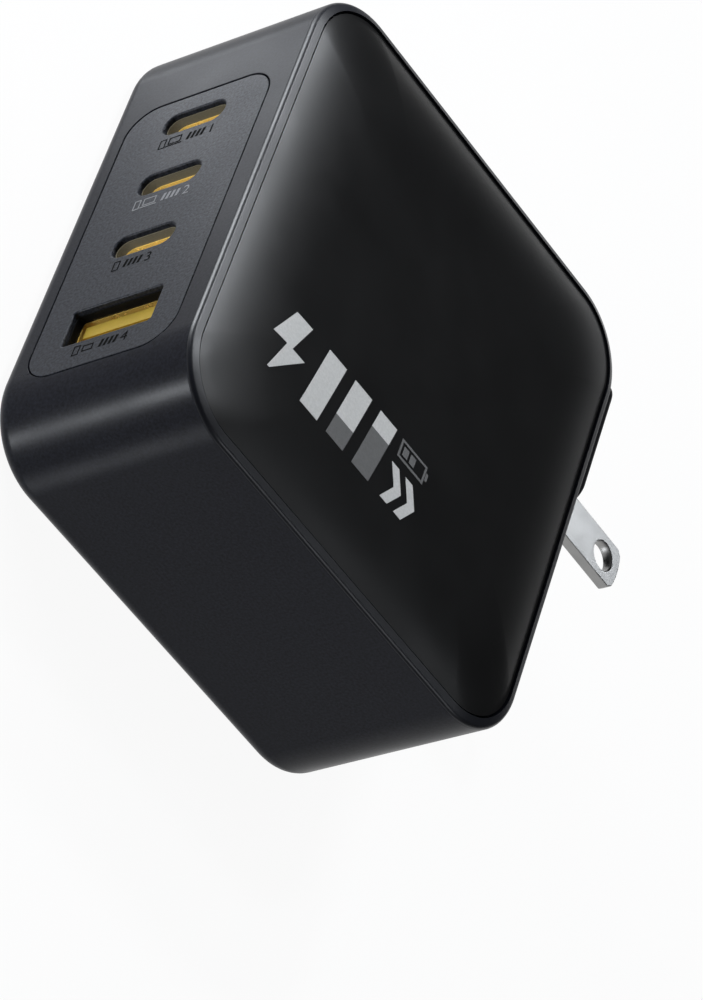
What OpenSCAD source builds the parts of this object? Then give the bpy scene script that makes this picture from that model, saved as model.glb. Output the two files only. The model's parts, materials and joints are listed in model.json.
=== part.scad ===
// Wall charger for laptops and phones: a rounded square block with a pillowed front,
// three small and one large charging socket on one edge, and a pair of mains blades
// that fold into the opposite edge.
//
// Frame: the charger lies on its flat back. +Z is the normal of the pillowed front,
// +X points out of the edge with the blades, and +Y is the way the blades fold.
// The origin is the centre of the flat back. All sizes are in millimetres.

/* [Body] */
// Length from the socket edge to the blade edge
body_length = 66; // [65:0.5:76]
// Height across the row of sockets
body_height = 70; // [69:0.5:80]
// Thickness of the shell from its back to its front rim
rim_height = 29.5; // [29:0.5:34]
// Radius of the four corners seen from the front
corner_radius = 10; // [8:0.5:14]
// Rounding of the front rim
rim_rounding = 1.4; // [0.8:0.1:1.8]
// Rounding of the back edge
back_rounding = 2.4; // [1:0.1:3]
// Thickness of the side walls
wall = 2.2; // [2:0.1:2.8]
// Thickness of the wall behind the back plate
back_wall = 1.6; // [1.2:0.1:2.4]

/* [Front cover] */
// Width of the rim that frames the cover
rim_width = 1.25; // [1:0.05:1.6]
// Depth of the step that the cover rests on, below the rim
cover_seat_depth = 1.3; // [1:0.1:2]
// Gap between the rim and the cover
groove_gap = 0.3; // [0.15:0.05:0.5]
// Rise of the rounded shoulder of the cover
shoulder_rise = 2.0; // [1:0.1:3]
// Distance from the cover's edge over which the shoulder rises
shoulder_width = 12; // [6:0.5:16]
// Further rise of the crown at the middle of the cover
crown_rise = 0.5; // [0.1:0.1:1]
// Least thickness of the cover's skin
cover_skin = 1.4; // [1:0.1:2]
// Depth of the rib that centres the cover in the shell
cover_lip_depth = 2; // [1:0.1:3]
// Thickness of that rib
cover_lip_thickness = 1; // [0.8:0.1:1.6]

/* [Back plate] */
// Distance from the side of the shell to the edge of the back plate
back_plate_inset = 4; // [3.5:0.1:6]
// Thickness of the back plate
back_plate_thickness = 1.4; // [1:0.1:2]

/* [Socket panel] */
// Height of the panel along the row of sockets
panel_height = 45.2; // [44:0.2:50]
// Width of the panel across the sockets
panel_width = 21.8; // [19:0.2:23]
// Radius of the panel's corners
panel_radius = 4.3; // [2:0.1:6]
// How far the panel's middle lies below the middle of the body
panel_drop = 3.7; // [2.5:0.1:4.5]
// Thickness of the panel
panel_thickness = 1.2; // [1:0.1:1.5]
// Width of the ledge in the shell behind the panel's edge
panel_ledge = 1.5; // [1:0.1:2]
// Gap round the panel
panel_gap = 0.15; // [0.05:0.05:0.3]

/* [Sockets] */
// Distance between neighbouring small sockets
socket_pitch = 10.5; // [10:0.1:11]
// Distance from the lowest small socket to the large one
large_socket_pitch = 12.5; // [11.5:0.1:13]
// Place of the highest small socket, above the middle of the body
first_socket_y = 14.4; // [13:0.1:15]
// Length of the opening of a small socket
small_slot_length = 9.2; // [9:0.1:10]
// Height of the opening of a small socket
small_slot_height = 3.4; // [3.2:0.1:4]
// Length of the opening of the large socket
large_slot_length = 13.2; // [13:0.1:14]
// Height of the opening of the large socket
large_slot_height = 5.6; // [5.4:0.1:6.2]
// Radius of the corners of that opening
large_slot_radius = 0.5; // [0.3:0.1:0.8]
// Wall of a socket's metal shell
socket_skin = 0.3; // [0.2:0.05:0.4]
// Clearance between a socket's shell and the panel
socket_clearance = 0.05; // [0.02:0.01:0.1]
// How far the metal mouths lie behind the panel's face
mouth_depth = 0.7; // [0.3:0.1:1]
// Depth of the sockets from the mouth to the board behind them
socket_depth = 8; // [7:0.1:9]
// Flare at the edge of each opening
opening_flare = 0.25; // [0.1:0.05:0.4]

/* [Blades] */
// Distance between the two blades, centre to centre
blade_pitch = 12.7; // [12.4:0.1:13]
// Width of a blade
blade_width = 6.35; // [6.1:0.05:6.6]
// Thickness of a blade
blade_thickness = 1.5; // [1.4:0.05:1.6]
// Reach of the blades beyond the raised face
blade_reach = 15.9; // [15.9:0.1:17]
// Diameter of the hole near each blade's tip
blade_hole_d = 4; // [3.2:0.1:4.2]
// Distance from the tip to the middle of that hole
blade_hole_setback = 3.4; // [3.2:0.1:4.5]
// Length of the chamfer at the corners of a blade's tip
tip_chamfer = 1; // [0.6:0.1:1.4]
// Radius of the arch of a blade's tip
tip_arch = 9; // [7:0.5:14]
// Height of the blades above the middle of the body
blade_y = 13.4; // [13:0.1:13.6]
// Height of the blades above the pivot
blade_offset = 5.2; // [5:0.1:5.4]

/* [Folding hub] */
// Depth of the pivot behind the blade edge of the body
pivot_depth = 2; // [2:0.05:2.4]
// Radius of the hub round its pivot
hub_radius = 1.9; // [1.8:0.05:1.95]
// Radius of the two pivot pins
pin_radius = 1.2; // [1:0.05:1.4]
// Length of each pivot pin
pin_length = 1.4; // [1:0.1:1.6]
// Radial clearance of the pins in their bores
pin_clearance = 0.05; // [0.02:0.01:0.1]
// Clearance all round the folding parts
fold_clearance = 0.35; // [0.3:0.05:0.5]

/* [Blade housing] */
// Height of the raised face above the edge of the body
boss_rise = 2.2; // [1.8:0.1:2.6]
// Radius of the corners of the housing's flange
boss_radius = 3.5; // [3:0.1:4]
// Rounding of the raised face
boss_rounding = 0.5; // [0.3:0.1:1]
// Height of the housing's flange above the floor of the shell
flange_floor_gap = 0.2; // [0.2:0.1:1]
// Wall left in the shell between the flange and the cover's seat
flange_seat_wall = 0.6; // [0.5:0.1:1.5]
// Wall of the pocket that the blades fold into
pocket_wall = 1.3; // [1:0.1:1.5]
// Wall of the housing at the ends of the pivot bores
pin_wall = 1; // [0.8:0.1:1.2]
// Radius of the finger hollow between the blades
finger_radius = 4.6; // [4.2:0.1:4.8]
// Gap between the housing and the shell
housing_gap = 0.1; // [0.05:0.05:0.2]
// Thickness of the contact and click springs
spring_thickness = 0.3; // [0.2:0.05:0.4]
// Width of a contact strip
contact_width = 4.4; // [3:0.1:5]
// How far a contact strip reaches in behind its blade
contact_lead = 4; // [3:0.1:5]
// Length of the click spring
detent_length = 6.6; // [5:0.1:8]
// Width of the click spring
detent_width = 8; // [6:0.5:10]

/* [Circuit boards] */
// Height of the board posts above the floor of the shell
post_height = 1.8; // [1.5:0.1:2.5]
// Diameter of the board posts
post_diameter = 5; // [4:0.5:6]
// Thickness of the boards
board_thickness = 1.2; // [1:0.1:1.6]
// Space between the main board and the walls
board_gap = 0.8; // [0.5:0.1:1.2]

/* [Power parts] */
// Clearance between neighbouring parts on the boards
part_gap = 0.8; // [0.5:0.1:1]
// Diameter of a reservoir capacitor
reservoir_diameter = 13; // [12:0.2:14]
// Length of a reservoir capacitor
reservoir_length = 18; // [16:0.5:19.5]
// Transformer core, along X
transformer_length = 18; // [17:0.5:19]
// Transformer core, along Y
transformer_width = 22; // [20:0.5:23]
// Transformer height above the board
transformer_height = 18; // [16:0.5:20]
// Thickness of the top and bottom slabs of the transformer core
core_slab = 3.6; // [3:0.1:4]
// Thickness of the outer legs of the transformer core
core_leg = 3; // [2.5:0.1:3.5]
// Diameter of the middle post of the transformer core
core_post = 6; // [5:0.5:7]
// Wall of the transformer bobbin
bobbin_wall = 0.8; // [0.6:0.1:1]
// Outer diameter of the ring chokes over their wire
ring_diameter = 13; // [12:0.5:14]
// Height of the ring chokes over their wire
ring_height = 7; // [5:0.5:8]
// Diameter of the hole in the ring chokes' cores
ring_hole = 6.8; // [6:0.2:7.4]
// Thickness of the wire on the ring chokes
wire_thickness = 0.9; // [0.6:0.1:1]
// Diameter of an output capacitor
output_can_diameter = 6.3; // [5:0.1:6.8]
// Height of an output capacitor
output_can_height = 10; // [8:0.5:12]
// Side of an output choke
output_choke_side = 6; // [5:0.5:6.6]
// Height of an output choke off its board
output_choke_height = 3.5; // [3:0.1:4]
// Diameter of the varistor
varistor_diameter = 9; // [7:0.5:10]
// Thickness of the varistor
varistor_thickness = 3.6; // [3:0.1:4]
// Diameter of the inrush thermistor
thermistor_diameter = 8; // [7:0.5:10]
// Thickness of the inrush thermistor
thermistor_thickness = 3; // [2.5:0.1:3.5]
// Diameter of the safety capacitor
safety_diameter = 7; // [6:0.5:9]
// Thickness of the safety capacitor
safety_thickness = 2.8; // [2.4:0.1:3.2]
// Rounding of the dipped discs
disc_rounding = 0.8; // [0.4:0.1:1]
// Length of the fuse
fuse_length = 8.6; // [7:0.2:9]
// Diameter of the fuse
fuse_diameter = 4; // [3.4:0.1:4.4]
// Length of the fuse's end caps
fuse_cap = 2; // [1.5:0.1:2.5]
// Line capacitor, along X
line_capacitor_length = 13; // [11:0.5:14]
// Line capacitor, along Y
line_capacitor_width = 6; // [5:0.5:7]
// Line capacitor height
line_capacitor_height = 12; // [10:0.5:15]
// Bridge rectifier, along Y
rectifier_length = 14; // [12:0.5:15]
// Thickness of the bridge rectifier
rectifier_thickness = 3.4; // [3:0.1:3.8]
// Height of the bridge rectifier's body
rectifier_height = 11; // [9:0.5:13]
// Length of the bridge rectifier's legs
rectifier_leg = 3; // [2:0.5:4]
// Thickness of the heat sink beside the rectifier
sink_thickness = 1.2; // [1:0.1:1.6]
// Height of that heat sink
sink_height = 17; // [15:0.5:20]
// Long side of the chips under the main board
chip_length = 5; // [4:0.5:6]
// Short side of those chips
chip_width = 4; // [3:0.5:5]
// Thickness of those chips
chip_thickness = 1; // [0.8:0.1:1.2]
// Thickness of the heat spreader under the cover
spreader_thickness = 0.8; // [0.5:0.1:1]

/* [Hidden] */
$fn = 64;
eps = 0.01;
shell_colour = "#26282b";
metal_colour = "#c9c9c7";
gold_colour = "#d9a83e";

// faces of the body
port_x = -body_length/2;
plug_x = body_length/2;
// inside of the shell
floor_z = back_plate_thickness + back_wall;
cover_seat_z = rim_height - cover_seat_depth;
cavity_length = body_length - 2*wall;
cavity_height = body_height - 2*wall;
cavity_radius = corner_radius - wall;
// front cover outline
cover_inset = rim_width + groove_gap;
cover_edge_z = rim_height - 0.2;
cover_half_x = body_length/2 - cover_inset;
cover_half_y = body_height/2 - cover_inset;
cover_radius = corner_radius - cover_inset;
lip_inset = wall + 0.15;
// sockets
socket_z = rim_height/2;
panel_y = -panel_drop;
mouth_x = port_x + mouth_depth;
socket_board_x = mouth_x + socket_depth;
small_socket_ys = [for (i = [0:2]) first_socket_y - i*socket_pitch];
large_socket_y = first_socket_y - 2*socket_pitch - large_socket_pitch;
// folding blades
pivot_x = plug_x - pivot_depth;
pivot_y = blade_y - blade_offset;
boss_x = plug_x + boss_rise;
blade_tip_x = boss_x + blade_reach;
blade_root_x = pivot_x - 1.5;
blade_zs = [rim_height/2 - blade_pitch/2, rim_height/2 + blade_pitch/2];
blade_outer = blade_pitch/2 + blade_thickness/2;
hub_cheek = 1.05;
hub_half = blade_outer + hub_cheek;
hub_top_y = blade_y + blade_width/2 + 0.4;
hub_face_x = boss_x - 0.2;
hub_sweep = norm([hub_face_x - pivot_x, hub_top_y - pivot_y]);
folded_reach = blade_tip_x - pivot_x;
// pocket of the blade housing
pocket_half = hub_half + 0.3;
pocket_low_y = pivot_y - hub_radius - 0.6;
pocket_high_y = pivot_y + hub_sweep + fold_clearance;
pocket_back_x = pivot_x - (hub_top_y - pivot_y) - fold_clearance;
blade_sweep = max(norm([folded_reach - tip_chamfer, blade_offset + blade_width/2]),
                  norm([folded_reach, blade_offset + blade_width/2 - tip_chamfer]));
slot_end_y = pivot_y + blade_sweep + fold_clearance;
flange_low_y = pocket_low_y - pocket_wall;
flange_high_y = slot_end_y + 0.8;
flange_low_z = floor_z + flange_floor_gap;
flange_high_z = cover_seat_z - flange_seat_wall;
boss_low_y = pivot_y + 0.7;
lid_thickness = 1;
housing_setback = 0.2;
bore_half = pocket_half + pin_length - 0.2;
finger_y = pocket_high_y + finger_radius - 0.3;
// circuit boards
board_z = floor_z + post_height;
board_top = board_z + board_thickness;
board_half_y = cavity_height/2 - board_gap;
board_low_x = socket_board_x - 2;
board_high_x = cavity_length/2 - board_gap;
housing_keepout_x = pocket_back_x - lid_thickness - 0.6;
housing_keepout_y = [flange_low_y - 0.6, flange_high_y + 0.6];
post_inset = 5;
// places of the power parts: low-voltage parts follow the sockets' board, mains parts
// follow the blades' pocket, and rows follow the upper and lower edges of the main board
zone_low_x = socket_board_x + board_thickness;
low_row_y = -board_half_y + 2*part_gap;
reservoir_x = housing_keepout_x - part_gap/2 - reservoir_diameter/2;
reservoir_y = board_half_y - part_gap/2 - reservoir_diameter/2;
reservoir_step = reservoir_diameter + part_gap;
reservoir_places = [[reservoir_x, reservoir_y], [reservoir_x - reservoir_step, reservoir_y],
                    [reservoir_x, reservoir_y - reservoir_step]];
boost_choke_place = [reservoir_x - (reservoir_diameter + ring_diameter)/2 - part_gap,
                     reservoir_y - (reservoir_diameter + ring_diameter)/2 - part_gap];
transformer_place = [zone_low_x + output_choke_height + part_gap + transformer_length/2,
                     low_row_y + transformer_width/2];
varistor_x = board_high_x - part_gap/2 - varistor_thickness/2;
line_choke_place = [varistor_x - varistor_thickness/2 - part_gap - ring_diameter/2,
                    low_row_y + line_capacitor_width + part_gap + ring_diameter/2];
above_choke_y = line_choke_place[1] + ring_diameter/2 + part_gap;
rectifier_x = line_choke_place[0] - ring_diameter/2 - part_gap - sink_thickness
    - rectifier_thickness;
output_can_pitch = output_can_diameter + part_gap/2;
chip_x = (board_low_x + board_high_x)/2;

// ---- shared shapes ----

// half of a slab's section: a rectangle with its outer two corners rounded
module slab_section(half, thick, low_r, high_r) {
    square([half - low_r, thick/2]);
    translate([0, thick/2]) square([half - high_r, thick/2]);
    translate([0, low_r]) square([half, thick - low_r - high_r]);
    if (low_r > 0) translate([half - low_r, low_r]) circle(low_r);
    if (high_r > 0) translate([half - high_r, thick - high_r]) circle(high_r);
}

// a slab with round corners and rolled edges, standing on its middle
module slab(length, width, thick, radius, low_r = 0, high_r = 0) {
    for (sx = [-1, 1], sy = [-1, 1])
        translate([sx*(length/2 - radius), sy*(width/2 - radius), 0])
            rotate_extrude() slab_section(radius, thick, low_r, high_r);
    for (turn = [0, 180]) rotate([0, 0, turn]) {
        rotate([90, 0, 0]) linear_extrude(width - 2*radius, center = true)
            slab_section(length/2, thick, low_r, high_r);
        rotate([90, 0, 90]) linear_extrude(length - 2*radius, center = true)
            slab_section(width/2, thick, low_r, high_r);
    }
}

// a flat outline in Y and Z, drawn out along +X from x
module along_x(x, length) {
    translate([x, 0, 0]) rotate([90, 0, 90]) linear_extrude(length) children();
}

// a rounded rectangle of exact arcs
module rounded_rectangle(length, width, radius) {
    square([length - 2*radius, width], center = true);
    square([length, width - 2*radius], center = true);
    for (sx = [-1, 1], sy = [-1, 1])
        translate([sx*(length/2 - radius), sy*(width/2 - radius)]) circle(radius);
}

// a small socket's outline: round-ended, long way along Z
module small_outline(extra = 0) {
    rounded_rectangle(small_slot_height + 2*extra, small_slot_length + 2*extra,
                      small_slot_height/2 + extra - eps);
}

// the large socket's outline, long way along Z
module large_outline(extra = 0) {
    rounded_rectangle(large_slot_height + 2*extra, large_slot_length + 2*extra,
                      large_slot_radius);
}

// a box between two corners
module box(low, high) {
    translate(low) cube(high - low);
}

// ---- the shell and its covers ----

// outline of the back plate and its recess
module back_plate_blank(gap) {
    inset = back_plate_inset - gap;
    slab(body_length - 2*inset, body_height - 2*inset, back_plate_thickness + gap,
         corner_radius - inset);
}

// window and ledge for the socket panel
module panel_window() {
    along_x(port_x - 1, panel_thickness + 1)
        translate([panel_y, socket_z])
            rounded_rectangle(panel_height + 2*panel_gap, panel_width + 2*panel_gap,
                              panel_radius + panel_gap);
    along_x(port_x - 1, wall + 2)
        translate([panel_y, socket_z])
            rounded_rectangle(panel_height - 2*panel_ledge, panel_width - 2*panel_ledge,
                              panel_radius - panel_ledge);
}

// flange outline of the blade housing
module flange_outline(extra = 0) {
    translate([(flange_low_y + flange_high_y)/2, (flange_low_z + flange_high_z)/2])
        rounded_rectangle(flange_high_y - flange_low_y + 2*extra,
                          flange_high_z - flange_low_z + 2*extra, boss_radius + extra);
}

// outline of the pocket's walls behind the flange
module pocket_outline(extra = 0) {
    setback = housing_setback - extra;
    translate([(flange_low_y + flange_high_y)/2, rim_height/2])
        rounded_rectangle(flange_high_y - flange_low_y - 2*setback,
                          2*(bore_half + pin_wall + extra), boss_radius - setback);
}

// places of the posts that carry the main board
function post_places() = [
    for (sy = [-1, 1]) [board_low_x + post_inset, sy*(board_half_y - post_inset)],
    [board_high_x - post_inset, -board_half_y + post_inset],
    [housing_keepout_x - post_inset, board_half_y - post_inset]
];

module main_shell() {
    color(shell_colour) {
        difference() {
            slab(body_length, body_height, rim_height, corner_radius, back_rounding,
                 rim_rounding);
            translate([0, 0, floor_z])
                slab(cavity_length, cavity_height, rim_height, cavity_radius);
            translate([0, 0, cover_seat_z])
                slab(body_length - 2*rim_width, body_height - 2*rim_width, rim_height,
                     corner_radius - rim_width);
            translate([0, 0, -0.1]) back_plate_blank(0.1);
            panel_window();
            along_x(plug_x - wall - housing_gap, wall + 1) flange_outline(housing_gap);
            along_x(pocket_back_x - lid_thickness - housing_gap, plug_x - pocket_back_x)
                pocket_outline(housing_gap);
        }
        for (place = post_places())
            translate([place[0], place[1], floor_z - eps])
                cylinder(d = post_diameter, h = post_height + eps);
    }
}

// height of the cover's face at a distance in from its edge
function cover_height(d) = cover_edge_z
    + shoulder_rise*(1 - pow(1 - min(d/shoulder_width, 1), 2.3))
    + crown_rise*(1 - pow(1 - d/cover_half_x, 2));

// one ring of the cover's face, in from the edge by d
function cover_ring(d, z) =
    let (hx = cover_half_x - d, hy = cover_half_y - d,
         r = min(cover_radius + 0.45*d, 0.96*hx))
    [for (q = [0:3], i = [0:cover_arc_steps])
        let (turn = 90*(q + i/cover_arc_steps),
             sx = (q == 0 || q == 3) ? 1 : -1, sy = (q < 2) ? 1 : -1)
        [sx*(hx - r) + r*cos(turn), sy*(hy - r) + r*sin(turn), z]];
cover_arc_steps = 12;
cover_ring_points = 4*(cover_arc_steps + 1);
cover_insets = concat([0, 0.25, 0.7], [for (i = [1:12]) 0.7 + (cover_half_x - 2.5)*pow(i/12, 1.35)]);

// the pillowed blank of the cover, closed by a flat underside
module cover_blank() {
    n = cover_ring_points;
    rings = concat([cover_ring(0, cover_seat_z), cover_ring(0, cover_edge_z - 0.25)],
                   [for (d = cover_insets)
                       cover_ring(max(d, 0.12), cover_height(d) - (d == 0 ? 0.05 : 0))]);
    points = [for (ring = rings, p = ring) p];
    last = len(rings) - 1;
    sides = [for (k = [0:last - 1], i = [0:n - 1])
        [k*n + i, (k + 1)*n + i, (k + 1)*n + (i + 1)%n, k*n + (i + 1)%n]];
    bottom = [[for (i = [0:n - 1]) i]];
    top = [[for (i = [0:n - 1]) last*n + n - 1 - i]];
    polyhedron(points, concat(sides, bottom, top), convexity = 4);
}

module front_cover() {
    hollow_inset = lip_inset + cover_lip_thickness + 2 - cover_inset;
    hollow_rise = cover_height(hollow_inset) - cover_skin - cover_seat_z;
    color(shell_colour) difference() {
        union() {
            cover_blank();
            translate([0, 0, cover_seat_z - cover_lip_depth])
                slab(body_length - 2*lip_inset, body_height - 2*lip_inset,
                     cover_lip_depth + eps, corner_radius - lip_inset);
        }
        translate([0, 0, cover_seat_z - cover_lip_depth - 1])
            slab(body_length - 2*(lip_inset + cover_lip_thickness),
                 body_height - 2*(lip_inset + cover_lip_thickness), cover_lip_depth + 1,
                 corner_radius - lip_inset - cover_lip_thickness);
        translate([0, 0, cover_seat_z - 1])
            slab(2*(cover_half_x - hollow_inset), 2*(cover_half_y - hollow_inset),
                 hollow_rise + 1, cover_radius - hollow_inset);
    }
}

module back_plate() {
    color("#2b2d30") back_plate_blank(0);
}

// ---- sockets ----

// a flared mouth cut into the panel's face, round-ended
module flared_slot(y, length, height, radius) {
    depth = opening_flare;
    for (s = [-1, 1], t = [-1, 1])
        translate([port_x, y + t*(height/2 - radius), socket_z + s*(length/2 - radius)])
            rotate([0, 90, 0]) cylinder(r1 = radius + depth, r2 = radius, h = depth);
    for (s = [0, 180]) translate([port_x, y, socket_z]) rotate([s, 0, 0]) {
        translate([0, 0, -length/2 + radius]) linear_extrude(length - 2*radius)
            polygon([[0, 0], [0, height/2 + depth], [depth, height/2], [depth, 0]]);
        translate([0, height/2 - radius, 0]) rotate([90, 0, 0])
            linear_extrude(height - 2*radius + eps)
                polygon([[0, 0], [0, length/2 + depth], [depth, length/2], [depth, 0]]);
    }
}

module port_panel() {
    color("#33363a") difference() {
        along_x(port_x, panel_thickness)
            translate([panel_y, socket_z])
                rounded_rectangle(panel_height, panel_width, panel_radius);
        for (y = small_socket_ys) {
            along_x(port_x - 1, panel_thickness + 2) translate([y, socket_z]) small_outline();
            flared_slot(y, small_slot_length, small_slot_height, small_slot_height/2 - eps);
        }
        along_x(port_x - 1, panel_thickness + 2)
            translate([large_socket_y, socket_z]) large_outline();
        flared_slot(large_socket_y, large_slot_length, large_slot_height, large_slot_radius);
    }
}

// metal shell of a small socket: a flattened tube with a closed back
module small_socket_shell(i) {
    color(gold_colour) difference() {
        along_x(mouth_x, socket_depth)
            translate([small_socket_ys[i], socket_z]) small_outline(-socket_clearance);
        along_x(mouth_x - 1, socket_depth + 1 - socket_skin)
            translate([small_socket_ys[i], socket_z])
                small_outline(-socket_clearance - socket_skin);
    }
}

// contact tongue of a small socket: a root block with a thin blade on it
module small_socket_tongue(i) {
    back_x = socket_board_x - socket_skin;
    half = small_slot_length/2 - socket_clearance - socket_skin;
    color("#1b1b1c") {
        along_x(back_x - 1.2, 1.2) translate([small_socket_ys[i], socket_z])
            small_outline(-2*socket_clearance - socket_skin);
        box([mouth_x + 0.9, small_socket_ys[i] - 0.35, socket_z - half + 0.9],
            [back_x - 1, small_socket_ys[i] + 0.35, socket_z + half - 0.9]);
    }
}

module large_socket_shell() {
    color(gold_colour) difference() {
        along_x(mouth_x, socket_depth)
            translate([large_socket_y, socket_z]) large_outline(-socket_clearance);
        along_x(mouth_x - 1, socket_depth + 1 - socket_skin)
            translate([large_socket_y, socket_z])
                large_outline(-socket_clearance - socket_skin);
    }
}

large_half = large_slot_length/2 - socket_clearance - socket_skin;
large_low = large_slot_height/2 - socket_clearance - socket_skin;
tongue_thickness = 1.8;
tongue_y = large_socket_y + large_low - 0.9 - tongue_thickness;

module large_socket_tongue() {
    back_x = socket_board_x - socket_skin;
    color("#1b1b1c") {
        along_x(back_x - 1.4, 1.4) translate([large_socket_y, socket_z])
            large_outline(-2*socket_clearance - socket_skin);
        box([mouth_x + 1, tongue_y, socket_z - large_half + 0.7],
            [back_x - 1.4 + eps, tongue_y + tongue_thickness, socket_z + large_half - 0.7]);
    }
}

// four flat contacts under the large socket's tongue
module large_socket_contacts() {
    back_x = socket_board_x - socket_skin;
    color(gold_colour) for (k = [-1.5:1:1.5])
        box([mouth_x + 1.6, tongue_y - 0.2, socket_z + k*2.2 - 0.5],
            [back_x - 1.4, tongue_y, socket_z + k*2.2 + 0.5]);
}

// ---- folding blades ----

// blade: a flat bar with an arched, chamfered tip and a hole near it
module blade(z) {
    color(metal_colour) translate([0, blade_y, z - blade_thickness/2])
        difference() {
            linear_extrude(blade_thickness) intersection() {
                polygon([
                    [blade_root_x, -blade_width/2], [blade_tip_x - tip_chamfer, -blade_width/2],
                    [blade_tip_x, -blade_width/2 + tip_chamfer],
                    [blade_tip_x, blade_width/2 - tip_chamfer],
                    [blade_tip_x - tip_chamfer, blade_width/2], [blade_root_x, blade_width/2]]);
                union() {
                    translate([blade_tip_x - tip_arch, 0]) circle(tip_arch, $fn = 96);
                    translate([blade_root_x, -blade_width])
                        square([blade_tip_x - tip_arch - blade_root_x, 2*blade_width]);
                }
            }
            translate([blade_tip_x - blade_hole_setback, 0, -1])
                cylinder(d = blade_hole_d, h = blade_thickness + 2);
        }
}

// hub: a barrel on the pivot and a cheek block that holds both blades
module prong_hub() {
    color("#1f2023") difference() {
        union() {
            translate([pivot_x, pivot_y, rim_height/2 - hub_half])
                cylinder(r = hub_radius, h = 2*hub_half);
            for (s = [-1, 1])
                translate([pivot_x, pivot_y, rim_height/2 + s*(hub_half + pin_length/2 - eps)])
                    cylinder(r = pin_radius, h = pin_length + eps, center = true);
            box([blade_root_x, pivot_y, rim_height/2 - blade_outer],
                [pivot_x + hub_radius, hub_top_y, rim_height/2 + blade_outer]);
            box([pivot_x, boss_low_y, rim_height/2 - blade_outer],
                [hub_face_x, hub_top_y, rim_height/2 + blade_outer]);
        }
        for (z = blade_zs)
            box([blade_root_x - 1, blade_y - blade_width/2, z - blade_thickness/2],
                [hub_face_x + 1, blade_y + blade_width/2, z + blade_thickness/2]);
    }
}

// space that the hub and the blades sweep through, cut out of the housing
module fold_pocket() {
    box([pocket_back_x - 5, pocket_low_y, rim_height/2 - pocket_half],
        [plug_x + eps, pocket_high_y, rim_height/2 + pocket_half]);
    box([plug_x - 1, boss_low_y - 1, rim_height/2 - blade_outer - 0.3],
        [boss_x + 1, pocket_high_y, rim_height/2 + blade_outer + 0.3]);
    for (z = blade_zs)
        box([pocket_back_x - 5, pocket_high_y - 1, z - blade_thickness/2 - fold_clearance],
            [boss_x + 1, slot_end_y, z + blade_thickness/2 + fold_clearance]);
    translate([boss_x, finger_y, rim_height/2])
        cylinder(r = finger_radius, h = blade_pitch - blade_thickness - 2*fold_clearance - 1.2,
                 center = true);
}

module plug_housing() {
    mid_y = (boss_low_y + flange_high_y)/2;
    color("#17181a") difference() {
        union() {
            along_x(plug_x - wall, wall) flange_outline();
            translate([plug_x - 1, mid_y, (flange_low_z + flange_high_z)/2]) rotate([90, 0, 90])
                slab(flange_high_y - boss_low_y, flange_high_z - flange_low_z,
                     boss_rise + 1, boss_radius, 0, boss_rounding);
            along_x(pocket_back_x, plug_x - 1 - pocket_back_x) pocket_outline();
        }
        fold_pocket();
        translate([pivot_x, pivot_y, rim_height/2 - bore_half])
            cylinder(r = pin_radius + pin_clearance, h = 2*bore_half);
    }
}

// lid that closes the back of the pocket
module pocket_lid() {
    color("#222326") along_x(pocket_back_x - lid_thickness, lid_thickness) pocket_outline();
}

// bowed contact strip between the pocket's wall and a blade's flat side
module contact(side) {
    wall_z = pocket_half;
    touch_z = blade_outer + 0.3;
    mid_x = (blade_root_x + plug_x)/2;
    strip = [for (t = [0:0.125:1])
        [blade_root_x - contact_lead + t*(plug_x - 0.6 - blade_root_x + contact_lead),
         wall_z - spring_thickness - (wall_z - touch_z - spring_thickness)*pow(sin(180*t), 2)]];
    outer = [for (i = [len(strip) - 1:-1:0]) strip[i] + [0, spring_thickness]];
    color("#b98b52") translate([0, blade_y + contact_width/2, rim_height/2]) rotate([90, 0, 0])
        linear_extrude(contact_width) mirror([0, side < 0 ? 1 : 0])
            polygon(concat(strip, outer));
}

// click spring on the floor of the pocket, under the hub's barrel
module detent_spring() {
    high_x = pivot_x + hub_radius - spring_thickness;
    color("#b9bcc0")
        box([high_x - detent_length, pocket_low_y, rim_height/2 - detent_width/2],
            [high_x, pocket_low_y + spring_thickness, rim_height/2 + detent_width/2]);
}

// ---- circuit boards ----

module main_board() {
    color("#1d5a3a") difference() {
        translate([(board_low_x + board_high_x)/2, 0, board_z])
            linear_extrude(board_thickness)
                rounded_rectangle(board_high_x - board_low_x, 2*board_half_y,
                                  cavity_radius - board_gap);
        box([housing_keepout_x, housing_keepout_y[0], board_z - 1],
            [board_high_x + 1, housing_keepout_y[1], board_top + 1]);
    }
}

// upright board behind the sockets
module port_board() {
    color("#1d5a3a")
        box([socket_board_x, panel_y - panel_height/2 + 1, board_top],
            [socket_board_x + board_thickness, panel_y + panel_height/2 - 1,
             socket_z + panel_width/2]);
}

// ---- power parts ----

// pair of E-shaped ferrite halves: two slabs joined by a post and two legs
module transformer_core() {
    lift = part_gap;
    width = transformer_width - 2*core_leg + 2;
    inner = transformer_height - 2*lift - 2*core_slab;
    color("#3a3b3d") translate([transformer_place[0], transformer_place[1], board_top + lift]) {
        for (z = [core_slab/2, core_slab*1.5 + inner])
            translate([0, 0, z]) cube([transformer_length, width, core_slab], center = true);
        cylinder(d = core_post, h = inner + 2*core_slab);
        for (s = [-1, 1])
            translate([s*(transformer_length - core_leg)/2, 0, core_slab + inner/2])
                cube([core_leg, width, inner + 2*eps], center = true);
    }
}

// room for the coil between the core's legs and slabs
coil_room_d = transformer_length - 2*core_leg - 0.4;
coil_room_z = board_top + part_gap + core_slab + 0.1;
coil_room_h = transformer_height - 2*part_gap - 2*core_slab - 0.2;
bobbin_bore_d = core_post + 0.1;

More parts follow.
